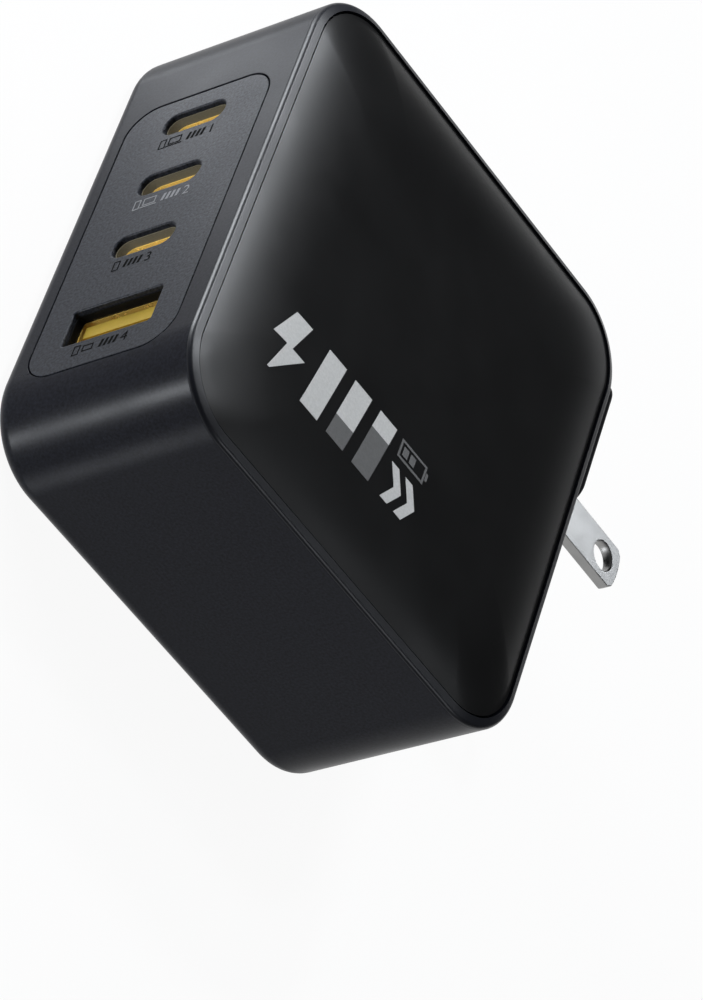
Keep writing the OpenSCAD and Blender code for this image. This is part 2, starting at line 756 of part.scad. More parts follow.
// bobbin: a sleeve round the post with two flanges, and two pin rails beside the core
module transformer_bobbin() {
    rail = core_leg - 1.2;
    color("#1c1d1f") translate([transformer_place[0], transformer_place[1], 0]) {
        difference() {
            translate([0, 0, coil_room_z]) union() {
                cylinder(d = bobbin_bore_d + 2*bobbin_wall, h = coil_room_h);
                for (z = [0, coil_room_h - bobbin_wall])
                    translate([0, 0, z]) cylinder(d = coil_room_d, h = bobbin_wall);
            }
            translate([0, 0, board_top]) cylinder(d = bobbin_bore_d, h = transformer_height);
        }
        for (s = [-1, 1])
            translate([0, s*(transformer_width - rail)/2, board_top + transformer_height/4])
                cube([transformer_length - 2*core_leg, rail, transformer_height/2],
                     center = true);
    }
}

module transformer_winding() {
    color("#d8b13a") translate([transformer_place[0], transformer_place[1],
                                coil_room_z + bobbin_wall])
        rotate_extrude() translate([bobbin_bore_d/2 + bobbin_wall, 0])
            square([(coil_room_d - bobbin_bore_d)/2 - bobbin_wall - 0.2,
                    coil_room_h - 2*bobbin_wall]);
}

// ring of a choke, lying inside its windings
module ring_core(place) {
    color("#4d6f62") translate([place[0], place[1], board_top + wire_thickness + 0.1])
        rotate_extrude() translate([ring_hole/2, 0])
            square([(ring_diameter - ring_hole)/2 - wire_thickness - 0.1,
                    ring_height - 2*wire_thickness - 0.2]);
}

// turns of wire round a ring: separate closed loops in two banks
module ring_winding(place, colour) {
    depth = (ring_diameter - ring_hole)/2 - wire_thickness - 0.1;
    color(colour) translate([place[0], place[1], board_top])
        for (bank = [0, 180], k = [-3:3]) rotate([0, 0, bank + k*20])
            difference() {
                translate([ring_hole/2 - wire_thickness, -wire_thickness/2, 0])
                    cube([depth + 2*wire_thickness, wire_thickness, ring_height]);
                translate([ring_hole/2 - 0.05, -wire_thickness, wire_thickness])
                    cube([depth + 0.1, 2*wire_thickness, ring_height - 2*wire_thickness]);
            }
}

// capacitor can with a crimp near its foot and a stepped top, standing on the board
module can(place, d, h) {
    r = d/2;
    crimp = r*0.08;
    translate([place[0], place[1], board_top]) rotate_extrude()
        polygon([[0, 0], [r - crimp, 0], [r, crimp], [r, 3*crimp], [r - crimp, 4*crimp],
                 [r, 5*crimp], [r, h - 2*crimp], [r - 2*crimp, h], [r - 3*crimp, h],
                 [r - 4*crimp, h - crimp], [0, h - crimp]]);
}

module reservoir_capacitor(i) {
    color("#2c3352") can(reservoir_places[i], reservoir_diameter, reservoir_length);
}

module line_capacitor() {
    color("#d7a52a")
        translate([line_choke_place[0], low_row_y + line_capacitor_width/2, board_top])
            slab(line_capacitor_length, line_capacitor_width, line_capacitor_height,
                 1, 0, 0.5);
}

// a dipped disc standing on its edge, its axis turned from X by turn
module disc(place, d, thick, turn) {
    translate([place[0], place[1], board_top + d/2]) rotate([0, 0, turn]) rotate([0, 90, 0])
        translate([0, 0, -thick/2]) rotate_extrude()
            slab_section(d/2, thick, disc_rounding, disc_rounding);
}

module safety_capacitor() {
    color("#3b67a8")
        disc([transformer_place[0],
              transformer_place[1] + transformer_width/2 + part_gap + safety_thickness/2],
             safety_diameter, safety_thickness, 90);
}

module varistor() {
    color("#2e6fae")
        disc([varistor_x, above_choke_y], varistor_diameter, varistor_thickness, 0);
}

module inrush_thermistor() {
    color("#2c2c2c") disc([line_choke_place[0], above_choke_y + thermistor_thickness/2],
                          thermistor_diameter, thermistor_thickness, 90);
}

module fuse() {
    color("#8a8d8f")
        translate([board_high_x - part_gap/2 - fuse_diameter/2,
                   above_choke_y - varistor_diameter/2 - part_gap,
                   board_top + fuse_diameter/2])
            rotate([90, 0, 0]) {
                cylinder(d = fuse_diameter - 0.6, h = fuse_length);
                for (z = [0, fuse_length - fuse_cap])
                    translate([0, 0, z]) cylinder(d = fuse_diameter, h = fuse_cap);
            }
}

module bridge_rectifier() {
    low_y = line_choke_place[1] - rectifier_length/2;
    leg_side = 0.8;
    leg_pitch = (rectifier_length - 2*leg_side)/4;
    color("#1a1a1a") translate([rectifier_x, low_y, board_top + rectifier_leg])
        cube([rectifier_thickness, rectifier_length, rectifier_height]);
    color(metal_colour) for (k = [0:3])
        translate([rectifier_x + (rectifier_thickness - leg_side)/2,
                   low_y + leg_side/2 + (k + 0.5)*leg_pitch, board_top])
            cube([leg_side, leg_side, rectifier_leg + eps]);
}

module bridge_heat_sink() {
    length = rectifier_length - 2*part_gap;
    color("#a9adb0") translate([rectifier_x + rectifier_thickness,
                                line_choke_place[1] - length/2, board_top])
        cube([sink_thickness, length, sink_height]);
}

// chips lie on the underside of the main board
module chip(y) {
    translate([chip_x - chip_width/2, y - chip_length/2, board_z - chip_thickness])
        cube([chip_width, chip_length, chip_thickness]);
}

module power_switches() {
    color("#151516") for (k = [-1:1]) chip(k*(chip_length + part_gap));
}

module control_chip() {
    color("#151516") chip(3*(chip_length + part_gap));
}

// row of small cans on the low-voltage side
module output_capacitors() {
    color("#9aa0a8") for (k = [0:3])
        can([zone_low_x + part_gap + output_can_diameter/2,
             board_half_y - 2*part_gap - output_can_diameter/2 - k*output_can_pitch],
            output_can_diameter, output_can_height);
}

// square moulded chokes on the back of the upright board
module output_chokes() {
    color("#4a4b4d") for (k = [0:2])
        translate([zone_low_x + output_choke_height/2,
                   panel_y - panel_height/2 + output_choke_side
                       + k*(output_choke_side + 2*part_gap), socket_z])
            cube([output_choke_height, output_choke_side, output_choke_side], center = true);
}

// thin metal sheet glued under the front cover
module heat_spreader() {
    inset = lip_inset + cover_lip_thickness + 0.3;
    color("#b4b8bb") translate([0, 0, cover_seat_z - spreader_thickness])
        slab(body_length - 2*inset, body_height - 2*inset, spreader_thickness,
             corner_radius - inset);
}

main_shell();
front_cover();
back_plate();
port_panel();
plug_housing();
pocket_lid();
prong_hub();
blade(blade_zs[1]);  // live_blade
blade(blade_zs[0]);  // neutral_blade
contact(1);  // live_contact
contact(-1);  // neutral_contact
detent_spring();
small_socket_shell(0);  // small_socket_shell_1
small_socket_shell(1);  // small_socket_shell_2
small_socket_shell(2);  // small_socket_shell_3
small_socket_tongue(0);  // small_socket_tongue_1
small_socket_tongue(1);  // small_socket_tongue_2
small_socket_tongue(2);  // small_socket_tongue_3
large_socket_shell();
large_socket_tongue();
large_socket_contacts();
main_board();
port_board();
transformer_core();
transformer_bobbin();
transformer_winding();
ring_core(boost_choke_place);  // boost_choke_core
ring_winding(boost_choke_place, "#b8662b");  // boost_choke_winding
ring_core(line_choke_place);  // line_choke_core
ring_winding(line_choke_place, "#c07a35");  // line_choke_winding
reservoir_capacitor(0);  // reservoir_capacitor_1
reservoir_capacitor(1);  // reservoir_capacitor_2
reservoir_capacitor(2);  // reservoir_capacitor_3
line_capacitor();
safety_capacitor();
fuse();
varistor();
inrush_thermistor();
bridge_rectifier();
bridge_heat_sink();
power_switches();
control_chip();
output_capacitors();
output_chokes();
heat_spreader();
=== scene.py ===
"""Looks of a wall charger: its shell, pillowed cover, sockets and folding blades."""

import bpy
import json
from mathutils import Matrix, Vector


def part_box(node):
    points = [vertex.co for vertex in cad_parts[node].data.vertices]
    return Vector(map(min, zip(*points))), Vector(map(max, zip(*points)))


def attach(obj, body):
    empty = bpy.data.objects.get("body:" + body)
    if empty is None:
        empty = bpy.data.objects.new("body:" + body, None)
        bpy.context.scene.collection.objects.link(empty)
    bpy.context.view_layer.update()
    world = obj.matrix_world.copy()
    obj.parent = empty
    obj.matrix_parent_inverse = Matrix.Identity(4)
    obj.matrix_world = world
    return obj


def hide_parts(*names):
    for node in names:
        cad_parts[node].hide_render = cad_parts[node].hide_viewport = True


bl_info = {
    "name": "Wall Charger Looks",
    "version": (1, 0, 0),
    "blender": (4, 5, 0),
    "location": "3D View > Sidebar > Charger",
    "description": "Models and finishes the pieces of a wall charger with folding blades",
    "category": "Add Mesh",
}

import json
import math
from contextlib import contextmanager

import bmesh
import bpy
from bpy.props import FloatProperty, FloatVectorProperty, PointerProperty
from mathutils import Euler, Matrix, Vector

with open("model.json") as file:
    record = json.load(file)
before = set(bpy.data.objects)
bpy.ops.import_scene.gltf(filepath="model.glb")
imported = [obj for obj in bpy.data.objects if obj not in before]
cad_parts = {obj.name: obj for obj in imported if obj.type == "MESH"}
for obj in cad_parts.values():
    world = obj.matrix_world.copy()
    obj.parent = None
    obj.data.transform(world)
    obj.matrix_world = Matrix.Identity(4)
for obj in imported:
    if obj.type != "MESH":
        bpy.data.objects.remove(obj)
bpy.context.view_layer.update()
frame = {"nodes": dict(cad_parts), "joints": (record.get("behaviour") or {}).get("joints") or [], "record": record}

MM = 0.001
TINY = 1e-6
BENT = 0.1  # least angle, in radians, between the two faces of a bent edge
SIDE = 1e-4  # how far the direction of an edge may be off its axis
ALIKE = 0.999  # least share of a face's normal in the direction that it looks
SHELL_LOW, SHELL_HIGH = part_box("main_shell")
COVER_LOW, COVER_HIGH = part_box("front_cover")
PANEL_LOW, PANEL_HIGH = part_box("port_panel")
PLATE_LOW, PLATE_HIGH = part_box("back_plate")
HOUSING_LOW, HOUSING_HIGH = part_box("plug_housing")
HUB_LOW, HUB_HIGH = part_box("prong_hub")
BLADE_LOW, BLADE_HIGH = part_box("live_blade")
PIVOT = Vector(frame["joints"][0]["pos_m"])
MIDDLE_Z = (PANEL_LOW.z + PANEL_HIGH.z) / 2
SMALL_SOCKETS = ("small_socket_shell_1", "small_socket_shell_2", "small_socket_shell_3")
SMALL_TONGUES = ("small_socket_tongue_1", "small_socket_tongue_2", "small_socket_tongue_3")
SOCKETS = (*SMALL_SOCKETS, "large_socket_shell")
BLADES = {"blade_live": "live_blade", "blade_neutral": "neutral_blade"}
BODY_STEPS = 28  # facets round a corner of the body
WINDOW_STEPS = 12  # facets round a corner of a window, the panel or a socket


# ---- sizes and colours that a user would change ----


def length(name, description, millimetres):
    """A length property, given in millimetres and kept in metres."""
    return FloatProperty(name=name, description=description, default=millimetres * MM,
                         subtype="DISTANCE", unit="LENGTH", precision=5)


def colour(name, description, rgb):
    """A colour property."""
    return FloatVectorProperty(name=name, description=description, default=rgb, size=3,
                               min=0.0, max=1.0, subtype="COLOR")


def plain(name, description, value):
    """A property without a unit."""
    return FloatProperty(name=name, description=description, default=value, precision=4)


class ChargerBodySizes(bpy.types.PropertyGroup):
    corner_radius: length("Corner radius", "Radius of the body's four corners", 10)
    rim_rounding: length("Rim rounding", "Rounding of the rim's outer edge", 0.5)
    rim_width: length("Rim width", "Width of the rim that frames the cover", 1.25)
    rim_slope: length("Rim slope", "How far the rim slopes down to its outer edge", 0.45)
    back_rounding: length("Back rounding", "Rounding of the edge of the back", 2.4)
    wall: length("Wall", "Thickness of the side walls", 2.2)
    cover_seat: length("Cover seat", "Depth of the step that the cover rests on", 1.3)
    floor_height: length("Floor height", "Height of the inside floor above the back", 3)
    edge_break: length("Edge break", "Softened width of a moulded edge", 0.12)
    plate_gap: length("Plate gap", "Gap round the back plate", 0.1)


class ChargerCoverSizes(bpy.types.PropertyGroup):
    groove_gap: length("Groove", "Gap between the rim and the cover", 0.3)
    edge_height: length("Edge height", "Height of the cover's edge above the back", 29.3)
    shoulder_rise: length("Shoulder rise", "Rise of the rounded shoulder", 2.0)
    shoulder_width: length("Shoulder width", "Width over which the shoulder rises", 12)
    shoulder_power: plain("Shoulder power", "Fullness of the shoulder's curve", 2.3)
    crown_rise: length("Crown rise", "Further rise at the middle of the cover", 0.498)
    roundness: plain("Roundness", "How much rounder each ring is than the last", 0.035)
    lip_inset: length("Lip inset", "Distance from the cover's edge to its rib", 0.8)
    lip_thickness: length("Lip thickness", "Thickness of that rib", 1.0)
    skin: length("Skin", "Thickness of the cover over its hollow", 1.4)


class ChargerSocketSizes(bpy.types.PropertyGroup):
    panel_radius: length("Panel radius", "Radius of the panel's corners", 4.3)
    panel_gap: length("Panel gap", "Gap round the panel", 0.15)
    panel_ledge: length("Panel ledge", "Width of the ledge behind the panel's edge", 1.5)
    clearance: length("Clearance", "Gap between a socket and its opening", 0.05)
    skin: length("Socket skin", "Thickness of a socket's metal", 0.3)
    # the faces along this depth get a dark finish: painted shade at the socket's mouth
    rim_depth: length("Rim depth", "Depth of the dull rim at a socket's mouth", 1.1)
    flare: length("Flare", "Flare at the edge of each opening", 0.25)
    large_corner: length("Large corner", "Radius of the large socket's corners", 0.5)
    contact_pitch: length("Contact pitch", "Distance between the small contacts", 0.5)
    contact_width: length("Contact width", "Width of those contacts", 0.28)
    face_setback: length("Face setback", "Depth of the panel's face under its print", 0.03)
    seam_width: length("Seam width", "Width of the large socket's seams", 0.12)
    sign_drop: length("Sign drop", "Distance from a socket's middle down to its sign", 3.4)


class ChargerPlugSizes(bpy.types.PropertyGroup):
    housing_radius: length("Housing radius", "Radius of the housing's corners", 3.5)
    housing_rounding: length("Housing rounding", "Rounding of the raised face", 0.5)
    face_start: length("Face start", "Height of the face's end above the pivot", 0.7)
    pocket_wall: length("Pocket wall", "Wall of the pocket below the hub", 1.3)
    pocket_gap: length("Pocket gap", "Space between the hub's ends and the pocket", 0.3)
    slot_wall: length("Slot wall", "Wall beyond the ends of the blades' slots", 0.8)
    pin_wall: length("Pin wall", "Wall at the ends of the pivot bores", 1)
    hub_radius: length("Hub radius", "Radius of the hub's barrel", 1.9)
    pin_radius: length("Pin radius", "Radius of the pivot pins", 1.2)
    pin_length: length("Pin length", "Length of each pivot pin", 1.4)
    pin_gap: length("Pin gap", "Clearance of the pins in their bores", 0.05)
    soft_edge: length("Soft edge", "Softened width of the housing's edges", 0.1)
    finger_radius: length("Finger radius", "Radius of the finger hollow", 4.6)
    fold_gap: length("Fold gap", "Clearance round the folding parts", 0.35)
    tip_chamfer: length("Tip chamfer", "Chamfer at the corners of a blade's tip", 1)
    tip_arch: length("Tip arch", "Radius of the arch of a blade's tip", 9)
    hole_radius: length("Hole radius", "Radius of the hole near a blade's tip", 2)
    hole_setback: length("Hole setback", "Distance from the tip to that hole", 3.4)
    blade_edge: length("Blade edge", "Softened width of a blade's edges", 0.14)


class ChargerColours(bpy.types.PropertyGroup):
    shell: colour("Shell", "Moulded walls of the body", (0.0072, 0.0079, 0.0112))
    cover: colour("Cover", "Satin front cover", (0.0038, 0.0038, 0.004))
    panel: colour("Panel", "Socket panel", (0.0155, 0.017, 0.0215))
    housing: colour("Housing", "Raised face and hub of the blades", (0.008, 0.008, 0.009))
    nickel: colour("Nickel", "Plated blades", (0.26, 0.26, 0.257))
    gold: colour("Gold", "Gold-coloured plating", (0.9, 0.6, 0.14))
    mark_light: colour("Light mark", "Lighter print", (0.55, 0.55, 0.54))
    mark_dark: colour("Dark mark", "Darker print", (0.14, 0.14, 0.14))
    sign_light: colour("Light sign", "Lighter signs by the sockets", (0.16, 0.16, 0.165))
    sign_dark: colour("Dark sign", "Darker signs by the sockets", (0.002, 0.002, 0.002))


class ChargerStage(bpy.types.PropertyGroup):
    camera_place: FloatVectorProperty(
        name="Camera place", description="Where the camera stands", size=3, precision=4,
        default=(-0.2769, -0.3677, 0.3325), subtype="TRANSLATION", unit="LENGTH")
    camera_turn: FloatVectorProperty(
        name="Camera turn", description="How the camera is turned", size=3, precision=4,
        default=[math.radians(a) for a in (21.503, -52.381, 24.883)], subtype="EULER")
    lens: plain("Lens", "Focal length in millimetres", 168.98)
    lamp_colour: colour("Lamp colour", "Cool tone of the lamps", (0.92, 0.955, 1.0))
    sky: plain("Sky", "Strength of the even light from all round", 0.045)
    floor_width: FloatProperty(name="Floor width", description="Side of the floor",
                               default=12.0, subtype="DISTANCE", unit="LENGTH")
    floor_white: plain("Floor white", "Share of plain white in the floor's look", 0.93)


# ---- modelling tools ----


def deselect():
    """Leaves edit mode and deselects everything."""
    if bpy.context.object and bpy.context.object.mode != "OBJECT":
        bpy.ops.object.mode_set(mode="OBJECT")
    bpy.ops.object.select_all(action="DESELECT")


def take(*pieces):
    """Selects these pieces only, with the first one active."""
    deselect()
    for piece in pieces:
        piece.select_set(True)
    bpy.context.view_layer.objects.active = pieces[0]


def settle(name):
    """Names the new primitive and moves its place and size into its mesh."""
    piece = bpy.context.object
    piece.name = piece.data.name = name
    bpy.ops.object.transform_apply(location=True, rotation=True, scale=True)
    return piece


def add_block(name, low, high):
    """A block between two corners."""
    deselect()
    low, high = Vector(low), Vector(high)
    bpy.ops.mesh.primitive_cube_add(size=1, location=(low + high) / 2, scale=high - low)
    return settle(name)


def add_rod(name, centre, radius, depth, turn=(0, 0, 0), sides=64):
    """A round rod, along Z unless it is turned."""
    deselect()
    bpy.ops.mesh.primitive_cylinder_add(vertices=sides, radius=radius, depth=depth,
                                        location=centre, rotation=turn)
    return settle(name)


@contextmanager
def editing(piece):
    """Edit mode on one piece, with nothing selected."""
    take(piece)
    bpy.ops.object.mode_set(mode="EDIT")
    bpy.ops.mesh.select_mode(type="FACE")
    bpy.ops.mesh.select_all(action="DESELECT")
    yield
    bpy.ops.object.mode_set(mode="OBJECT")


def pick_faces(test):
    """Selects the faces of the edited piece whose middle and normal pass the test."""
    bpy.ops.mesh.select_mode(type="FACE")
    shape = bmesh.from_edit_mesh(bpy.context.object.data)
    for face in shape.faces:
        face.select_set(bool(test(face.calc_center_median(), face.normal)))
    bmesh.update_edit_mesh(bpy.context.object.data)


def pick_edges(test):
    """Selects the bent edges of the edited piece whose two ends pass the test."""
    bpy.ops.mesh.select_mode(type="EDGE")
    shape = bmesh.from_edit_mesh(bpy.context.object.data)
    for edge in shape.edges:
        bent = edge.calc_face_angle(1) > BENT
        edge.select_set(bool(bent and test(edge.verts[0].co, edge.verts[1].co)))
    bmesh.update_edit_mesh(bpy.context.object.data)


def parallel(axis):
    """Test for edges that run along an axis, 0 to 2."""
    return lambda a, b: abs(abs((b - a).normalized()[axis]) - 1) < SIDE


def level(axis, value):
    """Test for edges that lie in a plane across an axis."""
    return lambda a, b: abs(a[axis] - value) < TINY and abs(b[axis] - value) < TINY


def facing(direction):
    """Test for faces that look in a direction."""
    return lambda middle, normal: normal.dot(Vector(direction)) > ALIKE


def round_edges(piece, test, radius, segments):
    """Rounds the edges that pass the test."""
    with editing(piece):
        pick_edges(test)
        bpy.ops.mesh.bevel(offset=radius, segments=segments, affect="EDGES",
                           clamp_overlap=False)


def round_along_x(piece, radius):
    """Rounds the edges along X, as those of a window, the panel or a socket."""
    round_edges(piece, parallel(0), radius, WINDOW_STEPS)


def draw_out(offset):
    """Extrudes the selected faces by an offset."""
    bpy.ops.mesh.extrude_region_move(TRANSFORM_OT_translate={"value": offset})


def apply_modifier(piece, kind, **settings):
    """Adds a modifier, sets it and applies it."""
    take(piece)
    modifier = piece.modifiers.new(kind.title(), kind)
    for key, value in settings.items():
        setattr(modifier, key, value)
    bpy.ops.object.modifier_apply(modifier=modifier.name)


def cut(piece, *cutters):
    """Takes the cutters out of a piece and removes them."""
    for cutter in cutters:
        apply_modifier(piece, "BOOLEAN", object=cutter, operation="DIFFERENCE",
                       solver="EXACT")
        bpy.data.objects.remove(cutter, do_unlink=True)


def weld(piece, *others):
    """Unites other solids with a piece."""
    for other in others:
        apply_modifier(piece, "BOOLEAN", object=other, operation="UNION", solver="EXACT")
        bpy.data.objects.remove(other, do_unlink=True)


def join(first, *others):
    """Joins loose pieces into one object."""
    take(first, *others)
    bpy.ops.object.join()
    return first


def soften(piece, width, segments=2, angle=35):
    """Breaks every sharp edge of a piece."""
    apply_modifier(piece, "BEVEL", width=width, segments=segments, limit_method="ANGLE",
                   angle_limit=math.radians(angle), use_clamp_overlap=True)


def finish_piece(piece, finish, body, nodes=(), smooth=30):
    """Shades a piece, gives it its finish and sets it into the frame."""
    take(piece)
    bpy.ops.object.shade_smooth_by_angle(angle=math.radians(smooth))
    apply_modifier(piece, "WEIGHTED_NORMAL", keep_sharp=True, weight=100)
    piece.data.materials.clear()
    piece.data.materials.append(finish_named(finish))
    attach(piece, body)
    if nodes:
        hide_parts(*nodes)


def paint_faces(piece, finish, test):
    """Gives the faces of a finished piece that pass the test a second finish."""
    piece.data.materials.append(finish_named(finish))
    with editing(piece):
        pick_faces(test)
        piece.active_material_index = 1
        bpy.ops.object.material_slot_assign()


# ---- finishes ----


class Finish:
    """A material under way: its node tree and its shader."""

    middle_values = (0.3, 0.7)  # the part of a pattern's values that is put to use

    def __init__(self, name, rgb, roughness, metallic=0.0, specular=0.5):
        self.material = bpy.data.materials.new(f"{name}_look")
        self.material.use_nodes = True
        self.nodes = self.material.node_tree.nodes
        self.links = self.material.node_tree.links
        self.shader = self.nodes["Principled BSDF"]
        self.rgb = rgb
        self.shader.inputs["Base Color"].default_value = (*rgb, 1)
        self.shader.inputs["Roughness"].default_value = roughness
        self.shader.inputs["Metallic"].default_value = metallic
        self.shader.inputs["Specular IOR Level"].default_value = specular
        self.roughness = roughness

    def pattern(self, kind, size, stretch=(1, 1, 1), **inputs):
        """A pattern node whose features are about size metres across."""
        place = self.nodes.new("ShaderNodeTexCoord")
        turn = self.nodes.new("ShaderNodeMapping")
        node = self.nodes.new(kind)
        turn.inputs["Scale"].default_value = stretch
        node.inputs["Scale"].default_value = 1 / size
        for key, value in inputs.items():
            node.inputs[key].default_value = value
        self.links.new(place.outputs["Object"], turn.inputs["Vector"])
        self.links.new(turn.outputs["Vector"], node.inputs["Vector"])
        return node.outputs[0]

    def spread(self, source, low, high):
        """Maps a pattern to values from low to high."""
        node = self.nodes.new("ShaderNodeMapRange")
        keys = ("From Min", "From Max", "To Min", "To Max")
        for key, value in zip(keys, (*self.middle_values, low, high)):
            node.inputs[key].default_value = value
        self.links.new(source, node.inputs["Value"])
        return node.outputs["Result"]

    def tint(self, source, low, high):
        """Varies the colour between low and high times its own value."""
        node = self.nodes.new("ShaderNodeMix")
        node.data_type = "RGBA"
        node.inputs["A"].default_value = (*[c * low for c in self.rgb], 1)
        node.inputs["B"].default_value = (*[min(1, c * high) for c in self.rgb], 1)
        self.links.new(self.spread(source, 0, 1), node.inputs["Factor"])
        self.links.new(node.outputs["Result"], self.shader.inputs["Base Color"])

    def gloss(self, source, change):
        """Varies the roughness by a change to either side."""
        result = self.spread(source, self.roughness - change, self.roughness + change)
        self.links.new(result, self.shader.inputs["Roughness"])

    def relief(self, source, depth, strength=1.0):
        """Raises the pattern by a depth in metres."""
        node = self.nodes.new("ShaderNodeBump")
        node.inputs["Distance"].default_value = depth
        node.inputs["Strength"].default_value = strength
        self.links.new(source, node.inputs["Height"])
        self.links.new(node.outputs["Normal"], self.shader.inputs["Normal"])


def rgb_of(tone):
    """A tone's colour. A tone is a colour or the name of one that a user can set."""
    colours = bpy.context.scene.charger_colours
    return getattr(colours, tone) if isinstance(tone, str) else tone


def moulded(name, tone, roughness, grain, depth, specular, speckle=0.12):
    """Moulded plastic: a speckled sandy grain and a cloudy gloss."""
    made = Finish(name, rgb_of(tone), roughness, specular=specular)
    sand = made.pattern("ShaderNodeTexNoise", grain * MM, Detail=3.0, Roughness=0.6)
    cloud = made.pattern("ShaderNodeTexNoise", 9 * MM, Detail=4.0)
    made.tint(sand, 1 - speckle, 1 + speckle)
    made.gloss(cloud, 0.03)
    made.relief(sand, depth * MM, 0.9)
    return made.material


def metal(name, tone, roughness, stretch, depth, metallic=1.0):
    """Plated or bare metal with fine drawn lines and small stains."""
    made = Finish(name, rgb_of(tone), roughness, metallic=metallic)
    lines = made.pattern("ShaderNodeTexNoise", 0.12 * MM, stretch, Detail=2.0)
    stains = made.pattern("ShaderNodeTexNoise", 2.5 * MM, Detail=5.0, Roughness=0.65)
    made.tint(stains, 0.9, 1.05)
    made.gloss(stains, 0.03)
    made.relief(lines, depth * MM, 0.6)
    return made.material


def printed(name, tone):
    """Pad-printed ink, thin and slightly mottled."""
    made = Finish(name, rgb_of(tone), 0.7, specular=0.03)
    mottle = made.pattern("ShaderNodeTexNoise", 0.3 * MM, Detail=3.0)
    made.tint(mottle, 0.93, 1.05)
    made.relief(mottle, 0.003 * MM)
    return made.material


def wrapped_tape(name, tone):
    """Wrapped tape, with its laps."""
    made = Finish(name, tone, 0.25)
    laps = made.pattern("ShaderNodeTexWave", 9 * MM, (0, 0, 1), Distortion=0.4)
    made.tint(laps, 0.85, 1.1)
    made.relief(laps, 0.03 * MM)
    return made.material


def solder_mask(name, tone):
    """Solder mask over faint copper tracks."""
    made = Finish(name, tone, 0.3)
    tracks = made.pattern("ShaderNodeTexVoronoi", 2.2 * MM, (1, 1, 0.01), Randomness=0.35)
    made.tint(tracks, 0.7, 1.5)
    made.relief(tracks, 0.02 * MM)
    return made.material


FINISHES = {
    # moulded: tone, roughness, width of the grain and its depth in mm, specular, speckle
    "shell_plastic": (moulded, "shell", 0.31, 0.34, 0.008, 0.07, 0.5),
    "rim_plastic": (moulded, "shell", 0.35, 0.34, 0.003, 0.35),
    "cover_plastic": (moulded, "cover", 0.35, 0.16, 0.003, 0.3),
    "back_plastic": (moulded, "shell", 0.5, 0.25, 0.014, 0.14),
    "panel_plastic": (moulded, "panel", 0.34, 0.34, 0.02, 0.09, 0.8),
    "housing_plastic": (moulded, "housing", 0.42, 0.2, 0.004, 0.12),
    "hub_plastic": (moulded, "housing", 0.38, 0.2, 0.003, 0.15),
    "tongue_plastic": (moulded, (0.012, 0.012, 0.012), 0.5, 0.2, 0.003, 0.4),
    # painted shade: dark finishes for the first stretch inside each socket's mouth, where shade falls; olive in
    # the small sockets, black in the large one
    "mouth_shade_olive": (moulded, (0.06, 0.052, 0.034), 0.5, 0.3, 0.004, 0.3),
    "mouth_shade_black": (moulded, (0.003, 0.003, 0.003), 0.5, 0.3, 0.004, 0.1),
    "bobbin_plastic": (moulded, (0.014, 0.014, 0.015), 0.45, 0.3, 0.006, 0.4),
    "chip_epoxy": (moulded, (0.012, 0.012, 0.013), 0.6, 0.12, 0.01, 0.4),
    "ferrite": (moulded, (0.035, 0.036, 0.038), 0.65, 0.3, 0.02, 0.4),
    "blue_coating": (moulded, (0.03, 0.14, 0.42), 0.25, 1.5, 0.03, 0.5),
    "black_coating": (moulded, (0.02, 0.02, 0.02), 0.3, 1.5, 0.03, 0.5),
    "yellow_case": (moulded, (0.65, 0.4, 0.04), 0.35, 0.4, 0.008, 0.5),
    "capacitor_sleeve": (moulded, (0.025, 0.035, 0.1), 0.22, 2, 0.02, 0.5),
    "fuse_body": (moulded, (0.6, 0.6, 0.58), 0.35, 0.5, 0.004, 0.5),
    # metal: tone, roughness, stretch of the drawn lines, their depth in mm, metallic
    "blade_nickel": (metal, "nickel", 0.32, (0.04, 1, 1), 0.0007),
    "contact_bronze": (metal, (0.55, 0.33, 0.16), 0.35, (0.1, 1, 1), 0.002),
    "spring_steel": (metal, (0.5, 0.5, 0.52), 0.3, (0.1, 1, 1), 0.002),
    "socket_gold": (metal, "gold", 0.26, (0.08, 1, 1), 0.0008, 0.6),
    "tongue_gold": (metal, (0.33, 0.225, 0.02), 0.42, (1, 1, 0.3), 0.0008, 0.35),
    "can_aluminium": (metal, (0.6, 0.61, 0.62), 0.35, (1, 1, 0.1), 0.002),
    "copper_wire": (metal, (0.55, 0.22, 0.07), 0.3, (1, 1, 1), 0.004),
    # the rest: tone
    "winding_tape": (wrapped_tape, (0.65, 0.42, 0.05)),
    "circuit_board": (solder_mask, (0.02, 0.12, 0.06)),
    "light_ink": (printed, "mark_light"),
    "dark_ink": (printed, "mark_dark"),
    "sign_dark": (printed, "sign_dark"),
    "sign_light": (printed, "sign_light"),
}


def finish_named(name):
    """The material of a finish, made when it is first asked for."""
    make, *values = FINISHES[name]
    return bpy.data.materials.get(f"{name}_look") or make(name, *values)


# ---- body ----


